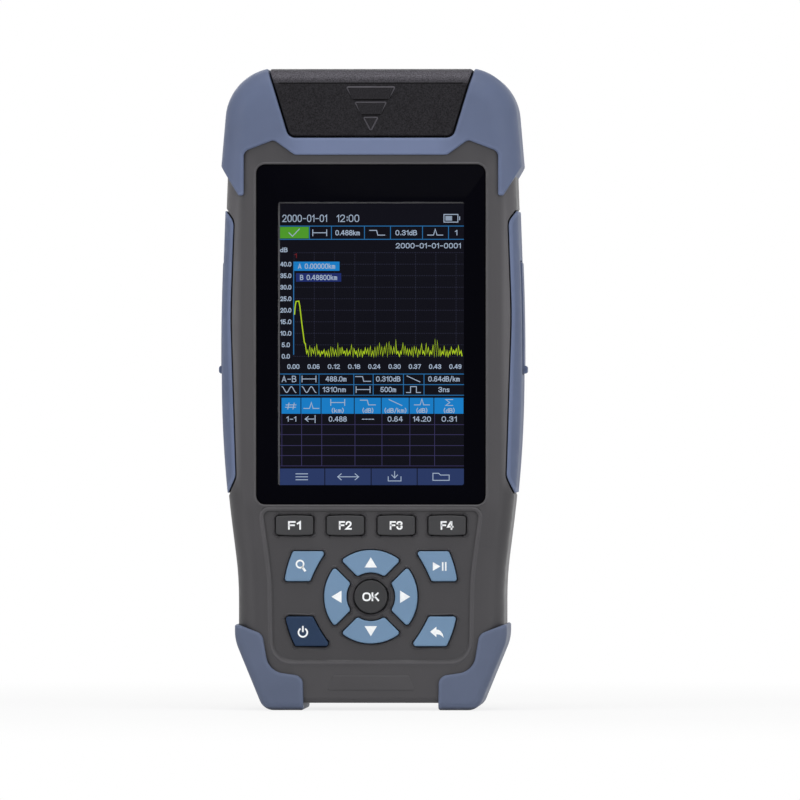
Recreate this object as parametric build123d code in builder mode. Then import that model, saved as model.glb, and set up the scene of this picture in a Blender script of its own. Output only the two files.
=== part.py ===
from build123d import *
import math
import os

# Handheld optical time domain reflectometer, standing upright with its front towards -Y and the table at Z 0
os.makedirs("parts", exist_ok=True)

# Heights, stacked from the table to the top
foot_drop = 1.9
keypad_rise = 11.4
keypad_height = 39.6
keypad_to_lens = 1.4
lens_height = 89.4
lens_to_band = 2.6
band_height = 4.9
cover_height = 17.8
cover_sink = 0.4
head_sink = 1.0
base_z = foot_drop
keypad_low_z = base_z + keypad_rise
keypad_top_z = keypad_low_z + keypad_height
lens_low_z = keypad_top_z + keypad_to_lens
lens_top_z = lens_low_z + lens_height
lens_mid_z = (lens_low_z + lens_top_z) / 2
band_z = lens_top_z + lens_to_band
cover_low_z = band_z + band_height
cover_top_z = cover_low_z + cover_height
bumper_top_z = cover_top_z + cover_sink
head_z = cover_top_z - head_sink

# Housing outline seen from the front
lens_width = 60.3
side_margin = 9.15
waist_inset = 4.25
head_inset = 2.3
base_inset = 7.55
waist_low_rise = 17.6
waist_high_rise = 33.1
bulge_low_rise = 14.2
bulge_high_drop = 39.7
ankle_radius = 12.0
waist_radius = 90.0
bulge_low_radius = 320.0
bulge_high_radius = 600.0
head_radius = 12.5
lens_half = lens_width / 2
grip_half = lens_half + side_margin
waist_half = grip_half - waist_inset
head_half = grip_half - head_inset
base_half = waist_half - base_inset
waist_low_z = base_z + waist_low_rise
waist_high_z = base_z + waist_high_rise
bulge_low_z = lens_low_z + bulge_low_rise
bulge_high_z = lens_top_z - bulge_high_drop
head_slope = (grip_half - head_half) / (head_z - bulge_high_z)

# Housing depth, wall and edges
body_depth = 40.0
wall = 2.4
shoulder_radius = 6.0
base_edge = 1.6
front_y = -body_depth / 2
rear_y = body_depth / 2
inner_front_y = front_y + wall
inner_rear_y = rear_y - wall

# Clearances, and a length that reaches past every face
seat_gap = 0.1
press_play = 0.02
hinge_play = 0.05
screw_clear = 0.2
move_gap = 0.3
beyond = 30.0
reach = 6.7
reach_half = grip_half + reach

# Soft skins: bumper, feet and grips stand in a shallow recess of the housing
skin_recess = 1.0
skin_proud = 1.0
skin_edge = 0.6

# Top bumper, over both upper corners, with a band under the cover
bumper_flare = 1.25
bumper_head_grow = 0.45
bumper_head_radius = 14.0
band_inset = 1.3
notch_reach = 4.2
notch_rise = 3.9
notch_radius = 1.5
arm_inset = 3.5
arm_rise = 0.9
arm_drop = 10.7
arm_radius = 2.0
tip_width = 1.4
tip_radius = 0.6
tip_slope = 1.62

# Feet, round the lower corners
foot_width = 10.2
foot_lean = 0.6
foot_step_rise = 7.1
foot_cove_inset = 0.6
foot_cove_rise = 1.3
foot_cove_radius = 5.0
foot_arm_grow = 1.1
foot_arm_rise = 18.2
foot_arm_slope = 0.385
foot_bend = 2.5
foot_toe_grow = 0.8
foot_toe_radius = 4.0
foot_ankle_rise = 16.6
foot_proud = 0.85
foot_edge = 2.2

# Side grips, nearly flush, with a thin groove round them
grip_proud = 0.3
grip_edge = 0.25
grip_groove = 0.3
grip_top_drop = 14.7
grip_low_rise = 7.0
grip_end_inset = 3.4
grip_mid_inset = 2.5
grip_tail_inset = 3.9
grip_top_slope = 1.37
grip_low_slope = 2.16
grip_end_radius = 4.0
grip_bow_radius = 150.0
grip_top_z = lens_top_z - grip_top_drop
grip_low_z = lens_low_z + grip_low_rise
grip_end_half = grip_half - grip_end_inset
grip_mid_half = grip_half - grip_mid_inset
grip_tail_half = grip_half - grip_tail_inset

# Top cover and its hinge
cover_inset = 10.2
cover_taper = 5.4
cover_corner = 2.0
cover_gap = 0.4
cover_thickness = 2.0
cover_proud = 0.6
cover_roll = 4.5
cover_edge = 0.5
cover_notch = 1.0
hinge_barrel_radius = 3.0
hinge_setback = 5.8
hinge_pin_radius = 1.0
barrel_gap = 0.4
lug_inset = 0.8
lug_width = 4.4
barrel_length = 12.4
pin_cap = 1.6
rear_lip_overlap = 0.5
cover_top_half = head_half - cover_inset
cover_low_half = cover_top_half - cover_taper
cover_slope = cover_taper / cover_height
cover_front_y = front_y - cover_proud
hinge_y = rear_y - hinge_setback
hinge_z = cover_top_z - hinge_barrel_radius
rear_lip_z = hinge_z - hinge_barrel_radius / 2
lug_end = cover_top_half - lug_inset
barrel_outer = lug_end - lug_width - barrel_gap
barrel_inner = barrel_outer - barrel_length
lug_radius = hinge_barrel_radius - barrel_gap
pin_half = lug_end - pin_cap

# Grip marks on the top cover, pointing down
mark_rows = 3
mark_half = 6.1
mark_length = 10.9
mark_bar = 3.0
mark_space = 1.0
mark_lean = 0.4
mark_height = 0.4
mark_drop = 5.0

# Port panel under the cover and its optical ports
panel_floor = 2.2
panel_wall = 1.6
panel_margin = 1.0
deck_thickness = 1.6
shelf_reach = 4.0
shelf_thickness = 2.0
shelf_inset = 1.9
port_setback = 2.0
port_stem_radius = 3.6
port_stem_length = 4.7
port_flange_radius = 6.0
port_flange = 1.5
port_head_room = 7.0
port_rim = 0.9
port_floor = 0.3
ferrule_bore = 1.255
sleeve_wall = 0.495
sleeve_sunk = 1.5
pigtail_radius = 0.9
port_barrels = {"otdr_port": 4.0, "power_meter_port": 5.0, "fault_locator_port": 4.5}
panel_low_z = cover_low_z - panel_floor
panel_front_y = inner_front_y + move_gap
panel_rear_y = inner_rear_y - 2 * move_gap
panel_top_z = cover_top_z - cover_thickness - 2 * move_gap
deck_y = hinge_y - hinge_barrel_radius - 2 * move_gap
deck_z = hinge_z - hinge_barrel_radius - barrel_gap
shelf_half = cover_low_half - shelf_inset
shelf_z = panel_low_z - seat_gap - shelf_thickness / 2
port_pitch = cover_low_half - panel_wall - port_flange_radius - move_gap
port_top_rise = cover_height - port_head_room
sleeve_top_z = cover_low_z + port_top_rise - sleeve_sunk
stem_low_z = cover_low_z - port_stem_length

# Display stack, from the lens backwards
lens_radius = 2.3
lens_thickness = 1.5
lens_sunk = 0.2
lens_gap = 0.2
adhesive_thickness = 0.3
ledge_thickness = 1.6
ledge_margin = 1.5
window_side = 5.65
window_rise = 5.0
window_drop = 9.8
window_gap = 0.8
lcd_side_margin = 2.9
lcd_low_margin = 3.0
lcd_top_margin = 6.0
lcd_depth = 4.0
lcd_sheet = 0.3
lcd_lip_shift = 0.35
lcd_glass = 1.8
cushion_thickness = 3.6
cushion_inset = 4.0
board_thickness = 1.6
window_half = lens_half - window_side
window_width = 2 * window_half
window_height = lens_height - window_rise - window_drop
window_low_z = lens_low_z + window_rise
window_mid_z = window_low_z + window_height / 2
pocket_depth = lens_sunk + lens_thickness + adhesive_thickness
ledge_y = front_y + pocket_depth + ledge_thickness
lcd_front_y = ledge_y + seat_gap
lcd_back_y = lcd_front_y + lcd_depth
lcd_half = window_half + lcd_side_margin
lcd_low_z = window_low_z - lcd_low_margin
lcd_top_z = window_low_z + window_height + lcd_top_margin
lcd_mid_z = (lcd_low_z + lcd_top_z) / 2
lcd_height = lcd_top_z - lcd_low_z
lcd_glass_y = lcd_front_y + lcd_sheet
board_front_y = lcd_back_y + cushion_thickness + 2 * seat_gap
board_rear_y = board_front_y + board_thickness

# Keypad field, a shallow recess with sloping sides
keypad_sink = 0.5
keypad_slope = 0.6
field_low_inset = 4.65
field_mid_inset = 4.25
field_top_inset = 1.55
field_mid_rise = 21.7
field_corner = 5.0
field_top_corner = 1.25
field_bow = 60.0
field_low_half = lens_half - field_low_inset
field_mid_half = lens_half - field_mid_inset
field_top_half = lens_half - field_top_inset
keypad_floor_y = front_y + keypad_sink

# Keys: sizes of their openings, the caps stand key_gap inside them
key_gap = 0.3
key_proud = 1.0
key_travel = 0.6
key_edge = 0.35
key_corner = 1.0
key_side_bow = 0.35
flange_width = 0.55
flange_thickness = 0.8
nub_height = 0.3
nub_radius = 1.2
dome_gap = 0.1
dome_height = 0.6
dome_radius = 2.2
dome_taper = 45
f_key_count = 4
f_key_side = 1.8
f_key_space = 2.9
f_key_height = 5.4
f_key_bow = 0.25
f_key_drop = 4.2
pad_low_margin = 4.0
pad_top_margin = 10.4
pad_side_room = 12.9
arrow_trim = 0.2
arrow_rib = 2.0
ok_rib = 1.43
f_key_pitch = 2 * (field_top_half - f_key_side) / f_key_count
f_key_width = f_key_pitch - f_key_space
f_key_z = keypad_top_z - f_key_drop
pad_room = keypad_height - pad_low_margin - pad_top_margin
arrow_outer = (pad_room / 2 + field_low_half - pad_side_room) / 2
arrow_inner = arrow_outer / 2 - arrow_trim
arrow_mid = (arrow_inner + arrow_outer) / 2
ok_radius = arrow_inner - ok_rib
pad_z = keypad_low_z + pad_low_margin + pad_room / 2
key_face_y = keypad_floor_y - key_proud
flange_y = inner_front_y + seat_gap
nub_end_y = flange_y + flange_thickness + nub_height
dome_top_y = nub_end_y + key_travel + dome_gap
keypad_board_y = dome_top_y + dome_height
keypad_board_rear_y = keypad_board_y + board_thickness

# Leaning keys beside the pad: height above its middle, outer and inner half width at either end
zoom_low = (arrow_outer - 8.8, field_low_half - 2.4, arrow_outer + 3.2)
zoom_high = (arrow_outer - 0.3, field_low_half - 4.8, arrow_outer - 1.4)
power_low = (-arrow_outer - 0.7, field_low_half - 5.4, arrow_outer - 2.7)
power_high = (7.7 - arrow_outer, field_low_half - 2.6, arrow_outer + 2.5)

# Fasteners and their bosses
housing_screw_radius = 1.5
housing_head_radius = 2.8
housing_head_height = 2.0
housing_boss_radius = 3.0
rear_boss_radius = 4.5
counterbore_depth = 8.0
housing_screw_bite = 8.0
housing_screw_room = 1.0
housing_upper_drop = 18.0
housing_lower_rise = 2.2
housing_base_inset = 15.5
housing_base_rise = 6.2
board_screw_radius = 1.0
board_head_radius = 2.0
board_head_height = 1.2
board_boss_radius = 2.6
board_screw_bite = 5.0
board_edge_clear = 0.6
board_upper_drop = 3.9
board_lower_rise = 11.7
keypad_boss_radius = 1.6
keypad_screw_bite = 3.0
keypad_upper_inset = 1.0
keypad_upper_drop = 8.9
keypad_lower_inset = 2.0
keypad_lower_rise = 3.7
boss_root = 0.6
driver_length = 1.2
driver_width = 0.3
boss_y = inner_front_y - boss_root
rear_boss_y = inner_rear_y + boss_root
counterbore_y = rear_y - counterbore_depth
board_screw_x = lcd_half + board_edge_clear + board_boss_radius
housing_screw_x = lcd_half + board_edge_clear + screw_clear + housing_boss_radius
housing_base_x = base_half - housing_base_inset
keypad_upper_place = (field_top_half - keypad_upper_inset, keypad_top_z - keypad_upper_drop)
keypad_lower_place = (field_top_half - keypad_lower_inset, keypad_low_z + keypad_lower_rise)

# Boards, optical engine and buzzer
keypad_board_margin = 0.4
keypad_board_inset = 1.2
buzzer_radius = 6.0
buzzer_height = 4.0
buzzer_hole = 0.8
board_low_rise = 4.7
board_top_rise = 3.1
board_overhang = 2.0
engine_inset = 3.4
engine_height = 29.0
engine_depth = 14.0
engine_edge = 1.5
keypad_board_half = field_top_half + keypad_board_margin
keypad_board_height = keypad_height - 2 * keypad_board_inset
board_low_z = lcd_low_z + board_low_rise
board_top_z = lcd_top_z + board_top_rise
engine_half = lcd_half - engine_inset

# Side port covers
port_cover_low_drop = 55.0
port_cover_length = 29.6
port_cover_depth = 16.0
port_cover_proud = 0.7
port_cover_corner = 2.5
tab_length = 2.1
tab_proud = 0.8
tab_depth = 8.0
tab_round = 0.7
port_low_z = lens_top_z - port_cover_low_drop
port_top_z = port_low_z + port_cover_length
port_mid_z = (port_low_z + port_top_z) / 2

# Sockets behind the side port covers
network_length = 17.0
network_width = 16.0
network_height = 13.4
network_mouth_width = 11.8
network_mouth_height = 7.0
network_mouth_depth = 12.5
latch_width = 6.4
latch_height = 1.8
charge_length = 7.5
charge_width = 8.0
charge_height = 3.0
charge_rise = 5.5
card_length = 14.0
card_width = 14.0
card_height = 2.0
card_drop = 6.2
socket_skin = 0.4
socket_depth = 5.5
socket_setback = 0.5
hole_margin = 0.5
socket_face_x = grip_half - wall - socket_setback
network_y = board_rear_y + network_height / 2
mouth_height = network_mouth_height + latch_height
mouth_y = network_y + latch_height / 2
charge_y = board_rear_y + charge_height / 2
charge_z = port_mid_z + charge_rise
card_y = board_rear_y + card_height / 2
card_z = port_mid_z - card_drop

# Kickstand on the back
stand_side = 13.15
stand_drop = 17.7
stand_low_rise = 15.7
stand_thickness = 3.0
stand_gap = 0.3
stand_pan = 1.6
stand_pin_radius = 0.8
stand_corner = 4.0
stand_rim = 4.0
stand_dish = 0.6
scoop_width = 16.0
scoop_height = 4.0
scoop_depth = 2.2
stand_width = 2 * (lens_half - stand_side)
stand_top_z = lens_top_z - stand_drop
stand_low_z = lens_low_z + stand_low_rise
stand_length = stand_top_z - stand_low_z
stand_mid_z = (stand_top_z + stand_low_z) / 2
stand_depth = stand_thickness + 2 * stand_gap
stand_axis_y = rear_y - stand_depth / 2
stand_axis_z = stand_top_z - stand_thickness / 2
stand_pin_half = stand_width / 2 + stand_gap + stand_pan
scoop_z = stand_low_z - scoop_height / 2
pan_y = rear_y - stand_depth - stand_pan
pan_width = stand_width + 2 * stand_gap
pan_length = stand_length + 2 * stand_gap

# Battery behind its cover
battery_side = 8.5
battery_short = 1.6
battery_thickness = 12.0
battery_gap = 1.0
battery_edge = 0.5
battery_rise = 15.1
battery_wall = 1.6
battery_ledge = 1.8
battery_cover_thickness = 2.0
battery_cover_side = 4.5
battery_cover_end = 3.0
battery_cover_corner = 3.0
battery_width = 2 * (base_half - battery_side)
battery_height = keypad_height - battery_short
battery_mid_z = base_z + battery_rise + battery_height / 2
battery_rear_y = rear_y - battery_cover_thickness - 3 * seat_gap
battery_floor_y = battery_rear_y - battery_thickness - seat_gap
battery_ledge_y = rear_y - battery_cover_thickness - seat_gap
battery_bay_width = battery_width + 2 * battery_gap
battery_bay_height = battery_height + 2 * battery_gap
battery_cover_width = battery_bay_width + 2 * battery_cover_side
battery_cover_height = battery_bay_height + 2 * battery_cover_end
battery_screw_x = (battery_bay_width + battery_cover_side) / 2
battery_seat_y = rear_y - board_head_height - seat_gap


def face_at(y):
    """Sketch plane facing the front at depth y, with sketch axes X and Z."""
    return Plane.XZ.offset(-y)


def mirrored(points):
    """The points of a right half outline followed by their mirror images."""
    return list(points) + [(-x, z) for x, z in reversed(points)]


def both(radii):
    """The corner radii that go with mirrored points."""
    return list(radii) + list(reversed(radii))


def both_sides(places):
    """Places on the right and their mirror images on the left."""
    return [(side * x, z) for side in (-1, 1) for x, z in places]


def keep(piece, name):
    """Label a finished piece and write it as one node."""
    piece.label = name
    export_step(piece, f"parts/{name}.step")


def slab(points, radii, y_from, y_to):
    """A closed outline in X and Z carried from one depth to another."""
    with BuildPart() as block:
        with BuildSketch(face_at(y_from)):
            with BuildLine():
                FilletPolyline(*points, radius=radii, close=True)
            make_face()
        extrude(amount=y_from - y_to)
    return block.part


def rims(solid, low_z, high_z):
    """The edges round the front and rear faces, between two heights."""
    faces = solid.faces().sort_by(Axis.Y)
    edges = [edge for face in (faces[0], faces[-1]) for edge in face.edges()]
    return [edge for edge in edges if low_z < edge.center().Z < high_z]


def rounded_block(points, radii, grow, radius, low_z, high_z):
    """An outline through the whole depth with its front and rear edges rounded between two heights."""
    block = slab(points, radii, front_y - grow, rear_y + grow)
    return block.fillet(radius, rims(block, low_z, high_z))


def housing_points(grow):
    """Right half of the housing outline, moved outwards by grow."""
    return [
        (base_half + grow, base_z - grow),
        (waist_half + grow, waist_low_z),
        (waist_half + grow, waist_high_z),
        (grip_half + grow, bulge_low_z),
        (grip_half + grow, bulge_high_z),
        (head_half + grow, head_z + grow),
    ]


def housing_radii(grow):
    """Corner radii of the right half of the housing outline."""
    return [0, ankle_radius, waist_radius, bulge_low_radius, bulge_high_radius, head_radius + grow]


def housing_block(grow):
    """The housing as one rounded block, moved outwards by grow."""
    points = mirrored(housing_points(grow))
    radius = shoulder_radius + grow
    low_z = base_z - grow + seat_gap
    return rounded_block(points, both(housing_radii(grow)), grow, radius, low_z, head_z + beyond)


def side_x(z):
    """Half width of the housing at a height above its widest point."""
    return grip_half - (z - bulge_high_z) * head_slope


def bay_points(grow, low_z, high_z):
    """Right half of the leaning sides of the top cover between two heights, moved outwards by grow."""
    return [(cover_low_half + grow + (z - cover_low_z) * cover_slope, z) for z in (low_z, high_z)]


def soft_edges(solid, cutters):
    """The edges that the given cutters left on the outside of a skin."""
    walls = [face for cutter in cutters for face in cutter.faces() if abs(face.normal_at().Y) < 0.5]
    cut_faces = Compound(children=walls)
    found = []
    for edge in solid.edges():
        along_depth = abs((edge % 0.5).Y) > 0.999
        on_cut = all(cut_faces.distance_to(edge @ t) < 1e-3 for t in (0.1, 0.5, 0.9))
        if on_cut and not along_depth:
            found.append(edge)
    return found


def half_of(solid, side):
    """The part of a solid in front of or behind the parting plane."""
    with BuildPart() as half:
        add(solid)
        split(bisect_by=face_at(0), keep=side)
    return half.part


# Basic blocks that the housing and its skins are cut from
housing = housing_block(0)
base_lines = [edge for edge in housing.edges().filter_by(Axis.X) if edge.center().Z < base_z + seat_gap]
housing = housing.fillet(base_edge, base_lines)
cavity = housing_block(-wall)
recess_core = housing_block(-skin_recess)
grip_block = housing_block(grip_proud)

# Space for the top cover, open to the front and the top, closed behind up to the rear lip
bay_outline = mirrored(bay_points(cover_gap, cover_low_z - cover_gap, cover_top_z + beyond))
bay_radii = both([cover_corner + cover_gap, 0])
cover_cut = slab(bay_outline, bay_radii, -beyond, beyond)
bay_front = slab(bay_outline, bay_radii, -beyond, inner_rear_y - rear_lip_overlap)
with BuildPart() as bay:
    add(cover_cut)
    with Locations((0, 0, rear_lip_z - beyond)):
        Box(4 * beyond, 4 * beyond, 2 * beyond, mode=Mode.SUBTRACT)
    add(bay_front)

# Top bumper
band_half = cover_low_half - band_inset
notch_half = cover_low_half + notch_reach
arm_half = head_half - arm_inset
arm_z = band_z - arm_drop
tip_half = arm_half + tip_width
bumper_region_points = [
    (band_half, band_z),
    (notch_half, band_z + notch_rise),
    (arm_half, band_z + arm_rise),
    (arm_half, arm_z),
    (tip_half, arm_z),
    (reach_half, arm_z + (reach_half - tip_half) * tip_slope),
    (reach_half, bumper_top_z + beyond),
]
bumper_region_radii = [notch_radius, notch_radius, arm_radius, tip_radius, tip_radius, 0, 0]
bumper_region = slab(mirrored(bumper_region_points), both(bumper_region_radii), -beyond, beyond)
bumper_low_z = arm_z - wall
bumper_points = [(grip_half + bumper_flare, bumper_low_z), (head_half + bumper_head_grow, bumper_top_z)]
bumper_block = rounded_block(
    mirrored(bumper_points),
    both([0, bumper_head_radius]),
    skin_proud,
    shoulder_radius + skin_proud,
    bumper_low_z + seat_gap,
    bumper_top_z + beyond,
)
with BuildPart() as top_bumper:
    add(bumper_block)
    add(bumper_region, mode=Mode.INTERSECT)
    add(cover_cut, mode=Mode.SUBTRACT)
    fillet(soft_edges(top_bumper.part, [bumper_region, cover_cut]), skin_edge)
    add(recess_core, mode=Mode.SUBTRACT)

# Feet that the tester stands on
foot_inner_half = base_half - foot_width
foot_step_z = base_z + foot_step_rise
foot_arm_half = base_half + foot_arm_grow
foot_arm_z = base_z + foot_arm_rise
foot_side_half = waist_half + foot_proud
foot_region_points = [
    (foot_inner_half, -beyond),
    (foot_inner_half + foot_lean, foot_step_z),
    (base_half - foot_cove_inset, foot_step_z + foot_cove_rise),
    (foot_arm_half, foot_arm_z),
    (reach_half, foot_arm_z + (reach_half - foot_arm_half) * foot_arm_slope),
    (reach_half, -beyond),
]
foot_region = slab(foot_region_points, [0, foot_bend, foot_cove_radius, foot_bend, 0, 0], -beyond, beyond)
foot_points = [
    (base_half + foot_toe_grow, 0),
    (foot_side_half, base_z + foot_ankle_rise),
    (foot_side_half, waist_high_z),
]
foot_block = rounded_block(
    mirrored(foot_points),
    both([foot_toe_radius, ankle_radius, 0]),
    skin_proud,
    foot_edge,
    -beyond,
    waist_high_z - seat_gap,
)
with BuildPart() as right_foot:
    add(foot_block)
    add(foot_region, mode=Mode.INTERSECT)
    fillet(soft_edges(right_foot.part, [foot_region]), skin_edge)
    add(recess_core, mode=Mode.SUBTRACT)


# Side grips with a pocket for the port cover
def grip_region(shrink):
    """Outline of the right grip, moved inwards by shrink."""
    points = [
        (reach_half, grip_top_z - shrink + (reach_half - grip_end_half) * grip_top_slope),
        (grip_end_half + shrink, grip_top_z - shrink),
        (grip_mid_half + shrink, bulge_high_z),
        (grip_tail_half + shrink, grip_low_z + shrink),
        (reach_half, grip_low_z + shrink - (reach_half - grip_tail_half) * grip_low_slope),
    ]
    return slab(points, [0, grip_end_radius, grip_bow_radius, grip_end_radius, 0], -beyond, beyond)


grip_recess = grip_region(0)
grip_face = grip_region(grip_groove)
pocket_depth_y = port_cover_depth + 2 * move_gap
pocket_length = port_cover_length + 2 * move_gap
with BuildPart() as right_grip:
    add(grip_block)
    add(grip_face, mode=Mode.INTERSECT)
    fillet(soft_edges(right_grip.part, [grip_face]), grip_edge)
    add(recess_core, mode=Mode.SUBTRACT)
    with BuildSketch(Plane.YZ.offset(grip_half - wall)):
        with Locations((0, port_mid_z)):
            RectangleRounded(pocket_depth_y, pocket_length, port_cover_corner + move_gap)
        with Locations((0, port_mid_z + pocket_length / 4)):
            Rectangle(pocket_depth_y, pocket_length / 2)
    extrude(amount=beyond, mode=Mode.SUBTRACT)

# Each skin is moulded on the front and the rear shell
skins = {
    "top_bumper": top_bumper.part,
    "right_foot": right_foot.part,
    "left_foot": mirror(right_foot.part, about=Plane.YZ),
    "right_grip": right_grip.part,
    "left_grip": mirror(right_grip.part, about=Plane.YZ),
}
for name, skin in skins.items():
    keep(half_of(skin, Keep.TOP), f"{name}_front")
    keep(half_of(skin, Keep.BOTTOM), f"{name}_rear")


# Key outlines, as openings in the front wall
def f_key_outline(step):
    """A rectangle with bowed long sides and round corners, a number of pitches from the middle."""
    x = step * f_key_pitch
    half = f_key_width / 2
    low = f_key_z - f_key_height / 2
    high = f_key_z + f_key_height / 2
    with BuildSketch() as outline:
        with BuildLine():
            top = ThreePointArc((x - half, high), (x, high + f_key_bow), (x + half, high))
            right = Line(top @ 1, (x + half, low))
            bottom = ThreePointArc(right @ 1, (x, low - f_key_bow), (x - half, low))
            Line(bottom @ 1, top @ 0)
        make_face()
        fillet(outline.vertices(), key_corner)
    return outline.sketch


def corner_key_outline(low, high):
    """A leaning key on the left of the pad: each end gives its height and its outer and inner half width."""
    low_rise, low_outer, low_inner = low
    high_rise, high_outer, high_inner = high
    low_z = pad_z + low_rise
    high_z = pad_z + high_rise
    mid_z = (low_z + high_z) / 2
    outer_mid = (low_outer + high_outer) / 2 + key_side_bow
    inner_mid = (low_inner + high_inner) / 2 + key_side_bow
    with BuildSketch() as outline:
        with BuildLine():
            outer = ThreePointArc((-low_outer, low_z), (-outer_mid, mid_z), (-high_outer, high_z))
            top = Line(outer @ 1, (-high_inner, high_z))
            inner = ThreePointArc(top @ 1, (-inner_mid, mid_z), (-low_inner, low_z))
            Line(inner @ 1, outer @ 0)
        make_face()
        fillet(outline.vertices(), key_corner)
    return outline.sketch


def arrow_outline(angle):
    """A quarter of a ring between two diagonal ribs, turned about the middle of the pad."""
    apex = arrow_rib / math.sqrt(2)
    span = 2 * arrow_outer
    with BuildSketch() as sector:
        Circle(arrow_outer)
        Circle(arrow_inner, mode=Mode.SUBTRACT)
        with BuildLine():
            Polyline((0, apex), (span, apex + span), (-span, apex + span), close=True)
        make_face(mode=Mode.INTERSECT)
        fillet(sector.vertices(), key_corner)
    with BuildSketch() as outline:
        with Locations((0, pad_z)):
            add(sector.sketch, rotation=angle)
    return outline.sketch


def ok_outline():
    """The round key in the middle of the pad."""
    with BuildSketch() as outline:
        with Locations((0, pad_z)):
            Circle(ok_radius)
    return outline.sketch


zoom_outline = corner_key_outline(zoom_low, zoom_high)
power_outline = corner_key_outline(power_low, power_high)
key_outlines = {
    "key_f1": f_key_outline(-1.5),
    "key_f2": f_key_outline(-0.5),
    "key_f3": f_key_outline(0.5),
    "key_f4": f_key_outline(1.5),
    "key_zoom": zoom_outline,
    "key_run": mirror(zoom_outline, about=Plane.YZ),
    "key_power": power_outline,
    "key_back": mirror(power_outline, about=Plane.YZ),
    "key_up": arrow_outline(0),
    "key_left": arrow_outline(90),
    "key_down": arrow_outline(180),
    "key_right": arrow_outline(270),
    "key_ok": ok_outline(),
}
key_centres = {}
for name, outline in key_outlines.items():
    middle = outline.bounding_box().center()
    key_centres[name] = (middle.X, middle.Y)
key_centres["key_up"] = (0, pad_z + arrow_mid)
key_centres["key_left"] = (-arrow_mid, pad_z)
key_centres["key_down"] = (0, pad_z - arrow_mid)
key_centres["key_right"] = (arrow_mid, pad_z)

# Keys: a cap with a soft edge, a flange behind the wall and a nub over the dome switch
for name, outline in key_outlines.items():
    with BuildPart() as key:
        with BuildSketch(face_at(flange_y)):
            add(outline)
            offset(amount=-key_gap, mode=Mode.REPLACE)
        extrude(amount=flange_y - key_face_y)
        fillet(key.faces().sort_by(Axis.Y)[0].edges(), key_edge)
        with BuildSketch(face_at(flange_y + flange_thickness)):
            add(outline)
            offset(amount=flange_width - key_gap, mode=Mode.REPLACE)
        extrude(amount=flange_thickness)
        with BuildSketch(face_at(flange_y + flange_thickness)):
            with Locations(key_centres[name]):
                Circle(nub_radius)
        extrude(amount=-nub_height)
    keep(key.part, name)

# Places of the screws, as X and Z
board_screw_places = both_sides(
    [(board_screw_x, lcd_low_z + board_lower_rise), (board_screw_x, lcd_top_z - board_upper_drop)]
)
keypad_screw_places = both_sides([keypad_upper_place, keypad_lower_place])
housing_screw_places = both_sides(
    [
        (housing_screw_x, lcd_top_z - housing_upper_drop),
        (housing_screw_x, lens_low_z + housing_lower_rise),
        (housing_base_x, base_z + housing_base_rise),
    ]
)
battery_screw_places = both_sides([(battery_screw_x, battery_mid_z)])

# Recesses in the housing under the soft skins
left_foot_region = mirror(foot_region, about=Plane.YZ)
left_grip_recess = mirror(grip_recess, about=Plane.YZ)
with BuildPart() as skin_recesses:
    add(bumper_region)
    add(cover_cut, mode=Mode.SUBTRACT)
    add([foot_region, left_foot_region, grip_recess, left_grip_recess])
    add(housing, mode=Mode.INTERSECT)
    add(recess_core, mode=Mode.SUBTRACT)

# Holes through the side walls for the sockets
with BuildPart() as socket_holes:
    with BuildSketch(Plane.YZ.offset(-socket_face_x)):
        with Locations((mouth_y, port_mid_z)):
            Rectangle(mouth_height + 2 * hole_margin, network_mouth_width + 2 * hole_margin)
    extrude(amount=-beyond)
    with BuildSketch(Plane.YZ.offset(socket_face_x)):
        with Locations((charge_y, charge_z)):
            Rectangle(charge_height + 2 * hole_margin, charge_width + 2 * hole_margin)
        with Locations((card_y, card_z)):
            Rectangle(card_height + 2 * hole_margin, card_width + 2 * hole_margin)
    extrude(amount=beyond)


# Keypad recess in the front face
def keypad_field(y, grow):
    """The keypad field at a depth, moved outwards by grow."""
    points = [
        (field_low_half + grow, keypad_low_z - grow),
        (field_mid_half + grow, keypad_low_z + field_mid_rise),
        (field_top_half + grow, keypad_top_z + grow),
    ]
    radii = both([field_corner + grow, field_bow, field_top_corner])
    with BuildSketch(face_at(y)) as field:
        with BuildLine():
            FilletPolyline(*mirrored(points), radius=radii, close=True)
        make_face()
    return field.sketch


field_floor = keypad_field(keypad_floor_y, 0)
field_mouth = keypad_field(keypad_floor_y - 2 * keypad_sink, 2 * keypad_slope)
with BuildPart() as keypad_recess:
    add(field_floor)
    add(field_mouth)
    loft(ruled=True)

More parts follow.
